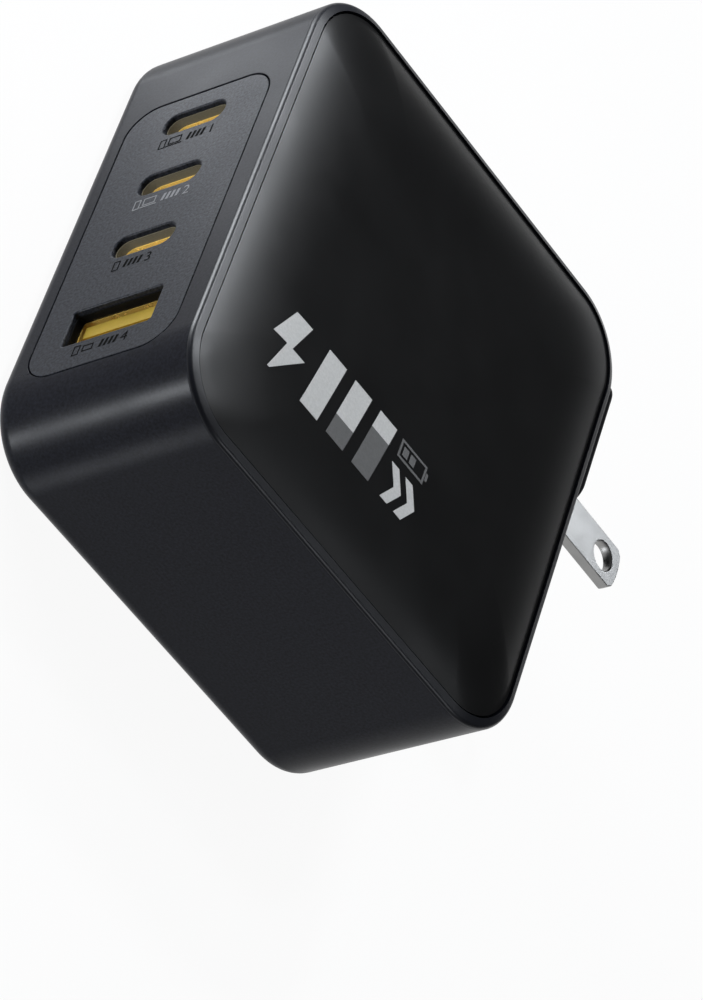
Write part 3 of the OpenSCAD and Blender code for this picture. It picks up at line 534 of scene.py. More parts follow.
class CHARGER_OT_shell(bpy.types.Operator):
    """Model the shell: walls, rim, seat of the cover, inside and windows"""
    bl_idname = "charger.shell"
    bl_label = "Shell"

    window_margin = 2.5 * MM  # no window comes this close to the front or the back
    rim_tilt = 0.3  # least rise of a normal on the rim

    def execute(self, context):
        body = context.scene.charger_body
        socket = context.scene.charger_socket
        plug = context.scene.charger_plug
        edge_z = SHELL_HIGH.z - body.rim_slope
        shell = add_block("charger_shell", SHELL_LOW, (SHELL_HIGH.x, SHELL_HIGH.y, edge_z))
        round_edges(shell, parallel(2), body.corner_radius, BODY_STEPS)
        round_edges(shell, level(2, SHELL_LOW.z), body.back_rounding, 10)
        with editing(shell):
            pick_faces(facing((0, 0, 1)))
            bpy.ops.mesh.inset(thickness=body.rim_width, depth=body.rim_slope)
        round_edges(shell, level(2, edge_z), body.rim_rounding, 6)
        with editing(shell):
            pick_faces(facing((0, 0, 1)))
            draw_out((0, 0, -body.cover_seat))
            bpy.ops.mesh.inset(thickness=body.wall - body.rim_width)
            draw_out((0, 0, body.floor_height + body.cover_seat - SHELL_HIGH.z))
            pick_faces(lambda middle, normal: normal.z < -ALIKE and middle.z < TINY)
            edge = PLATE_LOW.x - SHELL_LOW.x - body.plate_gap - body.back_rounding
            bpy.ops.mesh.inset(thickness=edge)
            draw_out((0, 0, PLATE_HIGH.z + body.plate_gap))
        self.cut_panel_window(shell, body, socket)
        self.cut_housing_window(shell, body, plug)
        for side_x in (SHELL_LOW.x, SHELL_HIGH.x):
            self.soften_window(shell, level(0, side_x), body)
        finish_piece(shell, "shell_plastic", "charger", ["main_shell"])
        low_z = edge_z - body.rim_rounding
        paint_faces(shell, "rim_plastic", lambda middle, normal:
                    middle.z > low_z and normal.z > self.rim_tilt)
        return {"FINISHED"}

    def cut_panel_window(self, shell, body, socket):
        """Cuts the recess of the socket panel and the opening behind it."""
        gap = Vector((0, socket.panel_gap, socket.panel_gap))
        recess = add_block("recess", PANEL_LOW - gap - Vector((MM, 0, 0)), PANEL_HIGH + gap)
        round_along_x(recess, socket.panel_radius + socket.panel_gap)
        ledge = Vector((0, socket.panel_ledge, socket.panel_ledge))
        opening = add_block("opening", PANEL_LOW + ledge - Vector((MM, 0, 0)),
                            PANEL_HIGH - ledge + Vector((body.wall + MM, 0, 0)))
        round_along_x(opening, socket.panel_radius - socket.panel_ledge)
        cut(shell, recess, opening)

    def cut_housing_window(self, shell, body, plug):
        """Cuts the window that the blades' housing fills."""
        low = Vector((SHELL_HIGH.x - body.corner_radius, HOUSING_LOW.y, HOUSING_LOW.z))
        high = Vector((SHELL_HIGH.x + MM, HOUSING_HIGH.y, HOUSING_HIGH.z))
        gap = Vector((0, body.plate_gap, body.plate_gap))
        window = add_block("window", low - gap, high + gap)
        round_along_x(window, plug.housing_radius + body.plate_gap)
        cut(shell, window)

    def soften_window(self, shell, test, body):
        """Breaks the edge of a window in one side of the shell."""
        reach_y = SHELL_HIGH.y - body.corner_radius / 2

        def on_window(point):
            """Tells whether a point belongs to a window and not to the side's outline."""
            depth = min(point.z - SHELL_LOW.z, SHELL_HIGH.z - point.z)
            return depth > self.window_margin and abs(point.y) < reach_y

        with editing(shell):
            pick_edges(lambda a, b: test(a, b) and on_window(a) and on_window(b))
            bpy.ops.mesh.bevel(offset=body.edge_break, segments=2, affect="EDGES")


class CHARGER_OT_cover(bpy.types.Operator):
    """Model the pillowed front cover, ring by ring, and its centring rib"""
    bl_idname = "charger.cover"
    bl_label = "Front Cover"

    rings = 26
    first_inset, last_inset = 0.12 * MM, 1.2 * MM  # kept at the edge and at the middle
    crowding = 1.9  # how much closer the rings lie near the edge

    def execute(self, context):
        size = context.scene.charger_cover
        body = context.scene.charger_body
        seat = SHELL_HIGH.z - body.cover_seat
        low = Vector((COVER_LOW.x, COVER_LOW.y, seat))
        high = Vector((COVER_HIGH.x, COVER_HIGH.y, size.edge_height))
        cover = add_block("charger_cover", low, high)
        radius = body.corner_radius - body.rim_width - size.groove_gap
        round_edges(cover, parallel(2), radius, BODY_STEPS)
        with editing(cover):
            pick_faces(facing((0, 0, 1)))
            for step in range(1, self.rings + 1):
                self.add_ring(size, step)
            bpy.ops.mesh.merge(type="CENTER")
            self.hollow_underside(size)
        finish_piece(cover, "cover_plastic", "charger", ["front_cover"], smooth=50)
        return {"FINISHED"}

    def inset_of(self, step):
        """Distance of a ring in from the edge, close together near the edge."""
        share = (step / self.rings) ** self.crowding
        return self.first_inset + (COVER_HIGH.x - self.last_inset) * share

    def height(self, size, inset):
        """Height of the cover's face at a distance in from its edge."""
        shoulder = 1 - (1 - min(inset / size.shoulder_width, 1)) ** size.shoulder_power
        crown = 1 - (1 - inset / COVER_HIGH.x) ** 2
        return size.edge_height + size.shoulder_rise * shoulder + size.crown_rise * crown

    def add_ring(self, size, step):
        """Extrudes the ring inside the last one, a little rounder and higher."""
        inset = self.inset_of(step)
        draw_out((0, 0, 0))
        if inset > MM:
            bpy.ops.transform.tosphere(value=size.roundness)
        low, high = selected_box()
        wanted = Vector((COVER_HIGH.x - inset, COVER_HIGH.y - inset))
        grow = (wanted.x / high.x, wanted.y / high.y, 1)
        bpy.ops.transform.resize(value=grow, center_override=(0, 0, low.z))
        rise = self.height(size, inset) - low.z
        bpy.ops.transform.translate(value=(0, 0, rise))

    def hollow_underside(self, size):
        """Draws the centring rib down and hollows the cover inside it."""
        pick_faces(facing((0, 0, -1)))
        bpy.ops.mesh.inset(thickness=size.lip_inset)
        seat = selected_box()[0].z
        draw_out((0, 0, COVER_LOW.z - seat))
        bpy.ops.mesh.inset(thickness=size.lip_thickness)
        beside_rib = 3 * size.lip_thickness
        top = self.height(size, beside_rib) - size.skin
        draw_out((0, 0, top - COVER_LOW.z))


def selected_box():
    """Lowest and highest corner of what is selected in edit mode."""
    shape = bmesh.from_edit_mesh(bpy.context.object.data)
    points = [v.co for v in shape.verts if v.select]
    low = Vector([min(p[k] for p in points) for k in range(3)])
    high = Vector([max(p[k] for p in points) for k in range(3)])
    return low, high


class CHARGER_OT_back_plate(bpy.types.Operator):
    """Model the flat plate that closes the back"""
    bl_idname = "charger.back_plate"
    bl_label = "Back Plate"

    def execute(self, context):
        body = context.scene.charger_body
        plate = add_block("charger_back_plate", PLATE_LOW, PLATE_HIGH)
        inset = PLATE_LOW.x - SHELL_LOW.x
        round_edges(plate, parallel(2), body.corner_radius - inset, 16)
        round_edges(plate, level(2, PLATE_LOW.z), body.edge_break, 2)
        finish_piece(plate, "back_plastic", "charger", ["back_plate"])
        return {"FINISHED"}


# ---- sockets ----


ROUND_ENDS = 1  # a radius larger than any opening, for ends that are fully round


def opening_block(name, node, grow, low_x, high_x, corner):
    """A block along X with a socket's outline, grown all round."""
    low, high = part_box(node)
    rim = Vector((0, grow, grow))
    low = Vector((low_x, low.y, low.z)) - rim
    high = Vector((high_x, high.y, high.z)) + rim
    block = add_block(name, low, high)
    round_along_x(block, min(corner, (high.y - low.y) / 2 - TINY))
    return block


class CHARGER_OT_panel(bpy.types.Operator):
    """Model the socket panel with its flared openings"""
    bl_idname = "charger.panel"
    bl_label = "Socket Panel"

    def execute(self, context):
        socket = context.scene.charger_socket
        face_x = PANEL_LOW.x + socket.face_setback
        panel = add_block("charger_socket_panel", (face_x, PANEL_LOW.y, PANEL_LOW.z),
                          PANEL_HIGH)
        round_along_x(panel, socket.panel_radius)
        for node in SOCKETS:
            corner = socket.large_corner if "large" in node else ROUND_ENDS
            cut(panel, opening_block("opening", node, socket.clearance,
                                     PANEL_LOW.x - MM, PANEL_HIGH.x + MM, corner))
        with editing(panel):
            pick_edges(lambda a, b: level(0, face_x)(a, b) and not on_outline(a, b))
            bpy.ops.mesh.bevel(offset=socket.flare, segments=3, affect="EDGES")
            pick_edges(lambda a, b: level(0, face_x)(a, b) and on_outline(a, b))
            bpy.ops.mesh.bevel(offset=context.scene.charger_body.edge_break, segments=2,
                               affect="EDGES")
        finish_piece(panel, "panel_plastic", "charger", ["port_panel"])
        return {"FINISHED"}


def on_outline(a, b):
    """Tells whether an edge lies on the panel's outline."""
    middle = (a + b) / 2
    near = 1.6 * MM  # no socket comes this close to the outline
    beside = min(middle.y - PANEL_LOW.y, PANEL_HIGH.y - middle.y) < near
    return beside or min(middle.z - PANEL_LOW.z, PANEL_HIGH.z - middle.z) < near


def socket_shell(name, node, corner, socket, mouth_shade_finish):
    """A metal tube with a closed back and a thinner rim at its mouth, which gets a dark finish as painted shade.
    """
    low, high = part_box(node)
    shell = opening_block(name, node, 0, low.x, high.x, corner)
    with editing(shell):
        pick_faces(facing((-1, 0, 0)))
        bpy.ops.mesh.inset(thickness=socket.skin / 2)
        draw_out((socket.rim_depth, 0, 0))
        bpy.ops.mesh.inset(thickness=socket.skin / 2)
        draw_out((high.x - low.x - socket.skin - socket.rim_depth, 0, 0))
    if "large" in name:
        cut_seams(shell, socket)
    finish_piece(shell, "socket_gold", "charger", [node])
    # painted shade: the faces of the first rim_depth of the tube get a dark finish, standing in for the shade
    # inside the mouth
    paint_faces(shell, mouth_shade_finish, lambda middle, normal:
                middle.x < low.x + socket.rim_depth - TINY)


def cut_seams(large, socket):
    """Cuts the two folded seams along the large socket's wall towards +Y."""
    low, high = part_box("large_socket_shell")
    start_x = low.x + socket.rim_depth + 0.1 * MM
    for place in (-2.5 * MM, -2.1 * MM):
        z = MIDDLE_Z + place
        cut(large, add_block("seam", (start_x, high.y - socket.skin - MM / 2, z),
                             (high.x - MM, high.y - socket.skin / 2,
                              z + socket.seam_width)))


class CHARGER_OT_sockets(bpy.types.Operator):
    """Model the sockets' gold-coloured shells and the contacts on the small tongues"""
    bl_idname = "charger.sockets"
    bl_label = "Sockets"

    contacts = 12
    contact_place = 0.35 * MM  # from the middle of the tongue
    contact_half = 0.03 * MM  # half the thickness of a contact
    front_gap, back_gap = 0.5 * MM, 1.4 * MM  # the tongue's ends without a contact

    def execute(self, context):
        socket = context.scene.charger_socket
        for count, node in enumerate(SMALL_SOCKETS, 1):
            socket_shell(f"small_socket_{count}", node, ROUND_ENDS, socket, "mouth_shade_olive")
            self.add_contacts(socket, count)
        socket_shell("large_socket", "large_socket_shell", socket.large_corner, socket,
                     "mouth_shade_black")
        return {"FINISHED"}

    def add_contacts(self, socket, count):
        """Lays gold-coloured contacts on both sides of a small socket's tongue."""
        low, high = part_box(SMALL_TONGUES[count - 1])
        middle_y = (low.y + high.y) / 2
        start_x, end_x = low.x + self.front_gap, high.x - self.back_gap
        strips = []
        for side in (-1, 1):
            y = middle_y + side * self.contact_place
            for k in range(self.contacts):
                z = MIDDLE_Z + (k - (self.contacts - 1) / 2) * socket.contact_pitch
                strips.append(add_block(
                    "contact",
                    (start_x, y - self.contact_half, z - socket.contact_width / 2),
                    (end_x, y + self.contact_half, z + socket.contact_width / 2)))
        contacts = join(*strips)
        contacts.name = contacts.data.name = f"small_socket_contacts_{count}"
        finish_piece(contacts, "socket_gold", "charger")


# ---- folding blades ----


def face_low_y(plug):
    """Height at which the raised face and the hub's block end."""
    return PIVOT.y + plug.face_start


def hub_half(plug):
    """Half the length of the hub's barrel, without its pins."""
    return (HUB_HIGH.z - HUB_LOW.z) / 2 - plug.pin_length


def pivot_rod(name, radius, half):
    """A rod on the pivot's axis."""
    return add_rod(name, (PIVOT.x, PIVOT.y, MIDDLE_Z), radius, 2 * half)


class CHARGER_OT_housing(bpy.types.Operator):
    """Model the blades' housing: flange, raised face, pocket, slots and finger hollow"""
    bl_idname = "charger.housing"
    bl_label = "Blade Housing"

    face_step = 0.01 * MM  # how far the pocket reaches past the edge of the body
    slot_margin = 1.2 * MM  # kept between the finger hollow and both slots together
    finger_overlap = 0.3 * MM  # how far the finger hollow runs into the pocket
    bore_rest = 0.2 * MM  # how much the pivot bore is shorter than its room

    def execute(self, context):
        plug = context.scene.charger_plug
        body = context.scene.charger_body
        edge_x = SHELL_HIGH.x
        housing = add_block("charger_housing",
                            (edge_x - body.wall, HOUSING_LOW.y, HOUSING_LOW.z),
                            (edge_x, HOUSING_HIGH.y, HOUSING_HIGH.z))
        round_along_x(housing, plug.housing_radius)
        face = add_block("face", (edge_x - MM, face_low_y(plug), HOUSING_LOW.z),
                         HOUSING_HIGH)
        round_along_x(face, plug.housing_radius)
        round_edges(face, level(0, HOUSING_HIGH.x), plug.housing_rounding, 6)
        half = hub_half(plug) + plug.pocket_gap + plug.pin_length + plug.pin_wall
        setback = 2 * body.plate_gap
        walls = add_block("walls",
                          (HOUSING_LOW.x, HOUSING_LOW.y + setback, MIDDLE_Z - half),
                          (edge_x - MM, HOUSING_HIGH.y - setback, MIDDLE_Z + half))
        round_along_x(walls, plug.housing_radius - setback)
        weld(housing, face, walls)
        cut(housing, *self.pocket_cutters(plug))
        soften(housing, plug.soft_edge, angle=50)
        finish_piece(housing, "housing_plastic", "charger", ["plug_housing"])
        return {"FINISHED"}

    def pocket_cutters(self, plug):
        """The space that the hub, the blades and a fingertip need."""
        half = hub_half(plug) + plug.pocket_gap
        low_y = HOUSING_LOW.y + plug.pocket_wall
        sweep = (HUB_HIGH.xy - PIVOT.xy).length
        high_y = PIVOT.y + sweep + plug.fold_gap
        end_y = HOUSING_HIGH.y - plug.slot_wall
        inner_x, outer_x = HOUSING_LOW.x - MM, HOUSING_HIGH.x + MM
        outer = BLADE_HIGH.z - MIDDLE_Z + plug.pocket_gap
        yield add_block("pocket", (inner_x, low_y, MIDDLE_Z - half),
                        (SHELL_HIGH.x + self.face_step, high_y, MIDDLE_Z + half))
        yield add_block("notch",
                        (SHELL_HIGH.x - MM, face_low_y(plug) - MM, MIDDLE_Z - outer),
                        (outer_x, high_y, MIDDLE_Z + outer))
        for node in BLADES.values():
            low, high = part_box(node)
            yield add_block("slot", (inner_x, high_y - MM, low.z - plug.fold_gap),
                            (outer_x, end_y, high.z + plug.fold_gap))
        between = BLADE_LOW.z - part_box("neutral_blade")[1].z
        between -= 2 * plug.fold_gap + self.slot_margin
        finger_y = high_y + plug.finger_radius - self.finger_overlap
        yield add_rod("finger", (HOUSING_HIGH.x, finger_y, MIDDLE_Z), plug.finger_radius,
                      between, sides=96)
        yield pivot_rod("bore", plug.pin_radius + plug.pin_gap,
                        half + plug.pin_length - self.bore_rest)


class CHARGER_OT_hub(bpy.types.Operator):
    """Model the hub: a barrel with two pins and a block that grips the blades"""
    bl_idname = "charger.hub"
    bl_label = "Hub"

    def execute(self, context):
        plug = context.scene.charger_plug
        outer = BLADE_HIGH.z - MIDDLE_Z
        hub = pivot_rod("charger_hub", plug.hub_radius, hub_half(plug))
        pins = pivot_rod("pins", plug.pin_radius, (HUB_HIGH.z - HUB_LOW.z) / 2)
        grip = add_block("grip", (BLADE_LOW.x, PIVOT.y, MIDDLE_Z - outer),
                         (PIVOT.x + plug.hub_radius, HUB_HIGH.y, MIDDLE_Z + outer))
        block = add_block("block", (PIVOT.x, face_low_y(plug), MIDDLE_Z - outer),
                          (HUB_HIGH.x, HUB_HIGH.y, MIDDLE_Z + outer))
        weld(hub, pins, grip, block)
        for node in BLADES.values():
            low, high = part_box(node)
            cut(hub, add_block("seat", (low.x - MM, low.y, low.z),
                               (HUB_HIGH.x + MM, high.y, high.z)))
        soften(hub, plug.soft_edge, angle=50)
        finish_piece(hub, "hub_plastic", "prongs", ["prong_hub"])
        return {"FINISHED"}


class CHARGER_OT_blades(bpy.types.Operator):
    """Model the two blades with their arched tips and holes"""
    bl_idname = "charger.blades"
    bl_label = "Blades"

    def execute(self, context):
        plug = context.scene.charger_plug
        for name, node in BLADES.items():
            low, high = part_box(node)
            blade = add_block(name, low, high)
            self.shape_tip(blade, plug, low, high)
            hole = Vector((high.x - plug.hole_setback, (low.y + high.y) / 2,
                           (low.z + high.z) / 2))
            cut(blade, add_rod("hole", hole, plug.hole_radius, 4 * (high.z - low.z)))
            soften(blade, plug.blade_edge)
            finish_piece(blade, "blade_nickel", "prongs", [node])
        return {"FINISHED"}

    def shape_tip(self, blade, plug, low, high):
        """Arches the tip and chamfers its corners."""
        middle = (low + high) / 2
        margin = Vector((MM, MM, MM))
        beyond = add_block("beyond", (high.x - plug.tip_arch / 4, low.y - MM, low.z - MM),
                           high + margin)
        inside = Vector((high.x - plug.tip_arch, middle.y, middle.z))
        cut(beyond, add_rod("arch", inside, plug.tip_arch, 8 * MM, sides=240))
        cut(blade, beyond)
        for side in (-1, 1):
            edge_y = middle.y + side * (high.y - low.y) / 2
            corner = Vector((high.x, edge_y, middle.z))
            reach = plug.tip_chamfer / math.sqrt(2)
            deselect()
            bpy.ops.mesh.primitive_cube_add(
                size=2 * reach, location=corner, rotation=(0, 0, math.radians(45)),
                scale=(1, 1, 4))
            cut(blade, settle("corner"))


# ---- print ----


def add_sheet(low_edge, high_edge, cuts=9):
    """A flat sheet between two edges, each its first x, its last x and its y in mm."""
    low_x, low_end, low_y = (value * MM for value in low_edge)
    high_x, high_end, high_y = (value * MM for value in high_edge)
    middle_x = (low_x + low_end) / 2
    deselect()
    bpy.ops.mesh.primitive_plane_add(size=1, location=(middle_x, (low_y + high_y) / 2, 0))
    bpy.context.object.scale = (low_end - low_x, high_y - low_y, 1)
    sheet = settle("sheet")
    with editing(sheet):
        pick_edges(level(1, high_y))
        grow = (high_end - high_x) / (low_end - low_x)
        bpy.ops.transform.resize(value=(grow, 1, 1), center_override=(middle_x, high_y, 0))
        bpy.ops.transform.translate(value=((high_x + high_end) / 2 - middle_x, 0, 0))
        bpy.ops.mesh.select_all(action="SELECT")
        bpy.ops.mesh.subdivide(number_cuts=cuts)
    return sheet


def add_bar(low_x, low_y, high_x, high_y, cuts=9):
    """A flat upright rectangle, in mm."""
    return add_sheet((low_x, high_x, low_y), (low_x, high_x, high_y), cuts)


def add_outline(low_x, low_y, high_x, high_y, line, cuts=5):
    """A flat rectangular outline, in mm."""
    return [add_bar(low_x, low_y, high_x, low_y + line, cuts),
            add_bar(low_x, high_y - line, high_x, high_y, cuts),
            add_bar(low_x, low_y + line, low_x + line, high_y - line, cuts),
            add_bar(high_x - line, low_y + line, high_x, high_y - line, cuts)]


class CHARGER_OT_front_mark(bpy.types.Operator):
    """Print the two-tone mark on the cover: a bolt, level bars, arrows and a battery"""
    bl_idname = "charger.front_mark"
    bl_label = "Front Mark"

    # all in mm from the middle of the cover
    low_y, high_y = -23.0, -13.5
    bolt_waist, arrow_top = -18.3, -17.6
    bars = ((-16.8, 0.0), (-11.6, 0.35), (-6.4, 0.7))  # start and dark share of each
    bar_width, bar_slant = 3.4, 1.5
    arrows = (-0.6, 2.2)
    arrow_width, arrow_reach = 1.5, 1.6
    battery = (-0.2, -16.3, 5.0, -13.6)
    battery_line = 0.34
    battery_cap = (5.1, -15.5, 5.5, -14.4)
    battery_cells = ((0.5, -15.6, 1.5, -14.3), (1.9, -15.6, 2.9, -14.3))
    ink_lift, ink_thickness = 0.012 * MM, 0.02 * MM

    def execute(self, context):
        light = [add_sheet((-23.9, -20.5, self.bolt_waist), (-21.7, -18.7, self.high_y)),
                 add_sheet((-22.9, -22.5, self.low_y), (-21.5, -18.1, self.bolt_waist))]
        dark = []
        for start, share in self.bars:
            light.append(self.bar(start, share, 1.0))
            if share:
                dark.append(self.bar(start, 0.0, share))
        for start in self.arrows:
            light += self.arrow(start)
        dark += add_outline(*self.battery, self.battery_line)
        for part in (self.battery_cap, *self.battery_cells):
            dark.append(add_bar(*part, 2))
        self.print_on_cover(light, "front_mark_light", "light_ink")
        self.print_on_cover(dark, "front_mark_dark", "dark_ink")
        return {"FINISHED"}

    def bar(self, start, low_share, high_share):
        """A part of a slanted bar between two shares of its height."""
        height = self.high_y - self.low_y
        low_x = start + self.bar_slant * low_share
        high_x = start + self.bar_slant * high_share
        return add_sheet(
            (low_x, low_x + self.bar_width, self.low_y + height * low_share),
            (high_x, high_x + self.bar_width, self.low_y + height * high_share))

    def arrow(self, start):
        """An arrowhead, as its two halves."""
        end = start + self.arrow_width
        tip, tip_end = start + self.arrow_reach, end + self.arrow_reach
        middle = (self.low_y + self.arrow_top) / 2
        return [add_sheet((start, end, self.low_y), (tip, tip_end, middle)),
                add_sheet((tip, tip_end, middle), (start, end, self.arrow_top))]

    def print_on_cover(self, sheets, name, finish):
        """Lays sheets onto the curved cover as a thin print."""
        ink = join(*sheets)
        ink.name = ink.data.name = name
        ink.location = (0, 0, COVER_HIGH.z + MM)
        take(ink)
        bpy.ops.object.transform_apply(location=True, rotation=True, scale=True)
        cover = bpy.data.objects["charger_cover"]
        apply_modifier(ink, "SHRINKWRAP", target=cover, wrap_method="PROJECT",
                       use_project_z=True, use_positive_direction=False,
                       use_negative_direction=True, offset=self.ink_lift)
        apply_modifier(ink, "SOLIDIFY", thickness=self.ink_thickness, offset=1)
        finish_piece(ink, finish, "charger")


class CHARGER_OT_socket_signs(bpy.types.Operator):
    """Print small outlines of devices and a plain number beside each socket"""
    bl_idname = "charger.socket_signs"
    bl_label = "Socket Signs"

    # all in mm from the middle of a sign
    number_height = 1.5
    number_x = 3.2  # from the start of the level bars
    size_per_height = 1.4  # size of the type for the height of a number
    second_x = -2.7
    line = 0.16
    bar_pitch, bar_width, bar_slant, bar_half = 0.7, 0.4, 0.25, 0.6
    # each sign's finish, the start of its phone, its second device, its level bars' start
    signs = (("sign_dark", -4.1, "laptop", 0.1), ("sign_light", -4.1, "laptop", 0.1),
             ("sign_dark", -3.3, None, -1.7), ("sign_dark", -4.1, "tablet", -0.2))

    def execute(self, context):
        socket = context.scene.charger_socket
        for number, (node, sign) in enumerate(zip(SOCKETS, self.signs), 1):
            finish, phone_x, second, level_x = sign
            parts = self.phone(phone_x)
            if second:
                parts += getattr(self, second)(self.second_x)
            parts += self.level_bars(level_x)
            parts.append(self.plain_number(number, level_x + self.number_x))
            low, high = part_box(node)
            drop = socket.sign_drop + (MM if "large" in node else 0)
            self.print_on_panel(parts, f"socket_sign_{number}", finish,
                                (low.y + high.y) / 2 - drop, socket)
        return {"FINISHED"}

    def phone(self, x):
        """An upright device."""
        return add_outline(x, -0.8, x + 1.0, 0.8, self.line, 1)

    def tablet(self, x):
        """A device that lies on its side."""
        return add_outline(x, -0.5, x + 1.6, 0.5, self.line, 1)

    def laptop(self, x):
        """A screen on its base."""
        return [*add_outline(x, -0.45, x + 1.9, 0.75, self.line, 1),
                add_bar(x - 0.3, -0.75, x + 2.2, -0.58, 1)]

    def level_bars(self, x):
        """Four slanted bars."""
        starts = [x + k * self.bar_pitch for k in range(4)]
        return [add_sheet((start, start + self.bar_width, -self.bar_half),
                          (start + self.bar_slant, start + self.bar_slant + self.bar_width,
                           self.bar_half), 1)
                for start in starts]

    def plain_number(self, number, x):
        """A number as flat type."""
        deselect()
        bpy.ops.object.text_add(location=(x * MM, -self.number_height / 2 * MM, 0))
        text = bpy.context.object
        text.data.body = str(number)
        text.data.size = self.number_height * self.size_per_height * MM
        bpy.ops.object.convert(target="MESH")
        return settle("number")

    def print_on_panel(self, parts, name, finish, y, socket):
        """Stands a flat sign up on the panel's face, facing out."""
        ink = join(*parts)
        ink.name = ink.data.name = name
        take(ink)
        ink.rotation_euler = Matrix(((0, 0, -1), (0, 1, 0), (1, 0, 0))).to_euler()
        ink.location = (PANEL_LOW.x + socket.face_setback / 2, y, MIDDLE_Z)
        bpy.ops.object.transform_apply(location=True, rotation=True, scale=True)
        apply_modifier(ink, "SOLIDIFY", thickness=socket.face_setback / 4, offset=1)
        finish_piece(ink, finish, "charger")


# ---- stage ----


class CHARGER_OT_stage(bpy.types.Operator):
    """Set the floor, the lamps and the camera"""
    bl_idname = "charger.stage"
    bl_label = "Stage"

    # name, point lit, direction from it, distance, brightness of a white card there, width
    lamps = (
        ("port_key", (-0.033, 0, 0.015), (-0.75, 0.63, 0.22), 0.22, 1.3, 0.1),
        ("port_lamp", (-0.033, 0.03, 0.015), (-0.432, 0.704, -0.562), 0.15, 0.15, 0.04),
        ("top_lamp", (0, 0, 0.03), (0.125, 0.254, 0.957), 0.6, 0.12, 0.12),
        ("left_lamp", (-0.032, 0.01, 0.03), (-0.13, 0.69, 0.71), 0.6, 0.36, 0.06),
        ("bend_lamp", (-0.031, -0.025, 0.03), (-0.06, 0.47, 0.88), 0.6, 0.28, 0.08),
        ("rim_lamp", (0, -0.034, 0.029), (0.51, -0.57, 0.64), 0.6, 0.12, 0.1),
        ("low_lamp", (0, -0.034, 0.03), (0.524, 0.05, 0.85), 0.6, 0.035, 0.1),
        ("edge_lamp", (0.02, 0.02, 0.03), (0.62, 0.78, 0.05), 0.6, 0.008, 0.2),
        ("corner_lamp", (-0.03, -0.032, 0.015), (-0.643, -0.514, -0.568), 0.5, 0.62, 0.075),
        ("band_lamp", (-0.025, -0.035, 0.015), (0.17, -0.79, -0.585), 0.5, 0.16, 0.13),
        ("blade_lamp", (0.045, 0.0134, 0.0219), (0.514, 0.643, 0.568), 0.15, 0.075, 0.025),
        ("socket_lamp", (-0.032, 0.004, 0.015), (-0.75, -0.6, 0.25), 0.3, 1.6, 0.05),
        ("tongue_lamp", (-0.032, -0.019, 0.015), (-0.75, -0.6, 0.25), 0.3, 0.1, 0.05),
    )
    lights_only = {
        "blade_lamp": tuple(BLADES),
        "socket_lamp": ("small_socket_1", "small_socket_2", "small_socket_3"),
        "tongue_lamp": ("large_socket", "large_socket_tongue"),
    }

    def execute(self, context):
        stage = context.scene.charger_stage
        self.add_floor(stage)
        self.add_sky(context, stage)
        for lamp in self.lamps:
            self.add_lamp(stage, *lamp)
        self.add_camera(context, stage)
        context.scene.view_settings.view_transform = "Standard"
        return {"FINISHED"}

    def add_floor(self, stage):
        """Adds the white floor, which keeps a faint shadow."""
        deselect()
        bpy.ops.mesh.primitive_plane_add(size=stage.floor_width, location=(0, 0, 0))
        floor = settle("floor")
        made = Finish("floor_white", (0.9, 0.9, 0.9), 0.9, specular=0.1)
        path = made.nodes.new("ShaderNodeLightPath")
        seen = path.outputs["Is Camera Ray"]
        for ray in ("Is Glossy Ray", "Is Transmission Ray"):
            either = made.nodes.new("ShaderNodeMath")
            either.operation = "MAXIMUM"
            made.links.new(seen, either.inputs[0])
            made.links.new(path.outputs[ray], either.inputs[1])
            seen = either.outputs[0]
        share = made.nodes.new("ShaderNodeMath")
        share.operation = "MULTIPLY"
        share.inputs[1].default_value = stage.floor_white
        made.links.new(seen, share.inputs[0])
        white = made.nodes.new("ShaderNodeEmission")
        mix = made.nodes.new("ShaderNodeMixShader")
        surface = made.nodes["Material Output"].inputs["Surface"]
        for source, socket in ((share, mix.inputs["Fac"]), (made.shader, mix.inputs[1]),
                               (white, mix.inputs[2]), (mix, surface)):
            made.links.new(source.outputs[0], socket)
        floor.data.materials.append(made.material)

    def add_sky(self, context, stage):
        """Sets the even light from all round."""
        world = bpy.data.worlds.new("studio")
        context.scene.world = world
        world.use_nodes = True
        background = world.node_tree.nodes["Background"]
        background.inputs["Color"].default_value = (1, 1, 1, 1)
        background.inputs["Strength"].default_value = stage.sky

    def add_lamp(self, stage, name, target, direction, distance, brightness, width):
        """Adds a square soft lamp. One below the floor shines through it."""
        deselect()
        away = Vector(direction).normalized()
        place = Vector(target) + away * distance
        bpy.ops.object.light_add(type="AREA", location=place,
                                 rotation=away.to_track_quat("Z", "Y").to_euler())
        lamp = bpy.context.object
        lamp.name = name
        lamp.data.energy = brightness * (math.pi * distance) ** 2
        lamp.data.size = width
        lamp.data.color = stage.lamp_colour
        if name in self.lights_only:
            lit = bpy.data.collections.new(f"{name}_lights")
            for piece in self.lights_only[name]:
                lit.objects.link(bpy.data.objects.get(piece) or frame["nodes"][piece])
            lamp.light_linking.receiver_collection = lit
        if place.z < 0:
            passed = bpy.data.collections.new(f"{name}_passes")
            passed.objects.link(bpy.data.objects["floor"])
            passed.collection_objects[0].light_linking.link_state = "EXCLUDE"
            lamp.light_linking.blocker_collection = passed

    def add_camera(self, context, stage):
        """Adds the camera and makes it the scene's own."""
        deselect()
        bpy.ops.object.camera_add(location=stage.camera_place,
                                  rotation=Euler(stage.camera_turn))
        camera = context.object
        camera.data.lens = stage.lens
        camera.data.sensor_width = 36.0
        camera.data.clip_start = 0.01
        context.scene.camera = camera


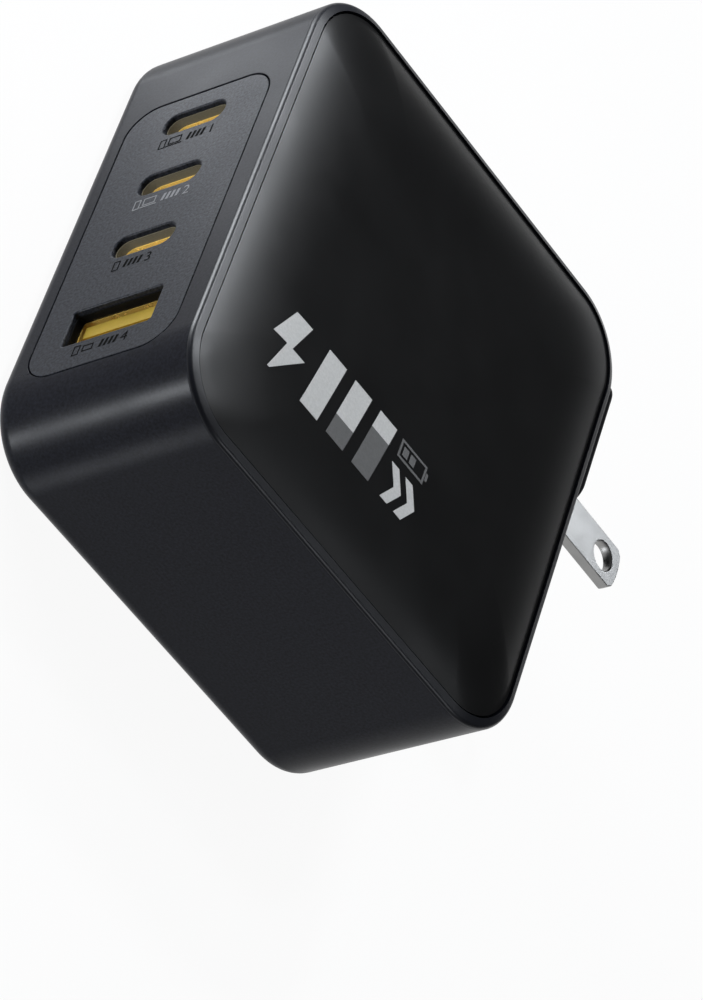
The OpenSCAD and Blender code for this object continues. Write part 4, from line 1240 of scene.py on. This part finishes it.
class CHARGER_OT_frame_finishes(bpy.types.Operator):
    """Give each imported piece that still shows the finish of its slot"""
    bl_idname = "charger.frame_finishes"
    bl_label = "Packed Pieces"

    # the large socket's tongue is gold-coloured in front, as its shell
    other_finishes = {"large_socket_tongue": "tongue_gold"}

    def execute(self, context):
        for part in frame["record"]["subparts"]:
            node = frame["nodes"][part["node"]]
            finish = self.other_finishes.get(part["node"], part["material_slot"])
            node.data.materials.clear()
            node.data.materials.append(finish_named(finish))
        return {"FINISHED"}


class CHARGER_PT_pieces(bpy.types.Panel):
    """Lists the charger's pieces"""
    bl_idname = "CHARGER_PT_pieces"
    bl_label = "Charger"
    bl_space_type = "VIEW_3D"
    bl_region_type = "UI"
    bl_category = "Charger"

    def draw(self, context):
        for piece in PIECES:
            self.layout.operator(piece.bl_idname)


PIECES = (CHARGER_OT_shell, CHARGER_OT_cover, CHARGER_OT_back_plate, CHARGER_OT_panel,
          CHARGER_OT_sockets, CHARGER_OT_housing, CHARGER_OT_hub, CHARGER_OT_blades,
          CHARGER_OT_front_mark, CHARGER_OT_socket_signs, CHARGER_OT_frame_finishes,
          CHARGER_OT_stage)
GROUPS = {"charger_body": ChargerBodySizes, "charger_cover": ChargerCoverSizes,
          "charger_socket": ChargerSocketSizes, "charger_plug": ChargerPlugSizes,
          "charger_colours": ChargerColours, "charger_stage": ChargerStage}
CLASSES = (*GROUPS.values(), *PIECES, CHARGER_PT_pieces)


def register():
    for entry in CLASSES:
        bpy.utils.register_class(entry)
    for name, group in GROUPS.items():
        setattr(bpy.types.Scene, name, PointerProperty(type=group))


def unregister():
    for name in GROUPS:
        delattr(bpy.types.Scene, name)
    for entry in reversed(CLASSES):
        bpy.utils.unregister_class(entry)


def main():
    """Makes every piece and the stage."""
    register()
    bpy.ops.charger.shell()
    bpy.ops.charger.cover()
    bpy.ops.charger.back_plate()
    bpy.ops.charger.panel()
    bpy.ops.charger.sockets()
    bpy.ops.charger.housing()
    bpy.ops.charger.hub()
    bpy.ops.charger.blades()
    bpy.ops.charger.front_mark()
    bpy.ops.charger.socket_signs()
    bpy.ops.charger.frame_finishes()
    bpy.ops.charger.stage()


if __name__ == "__main__":
    main()
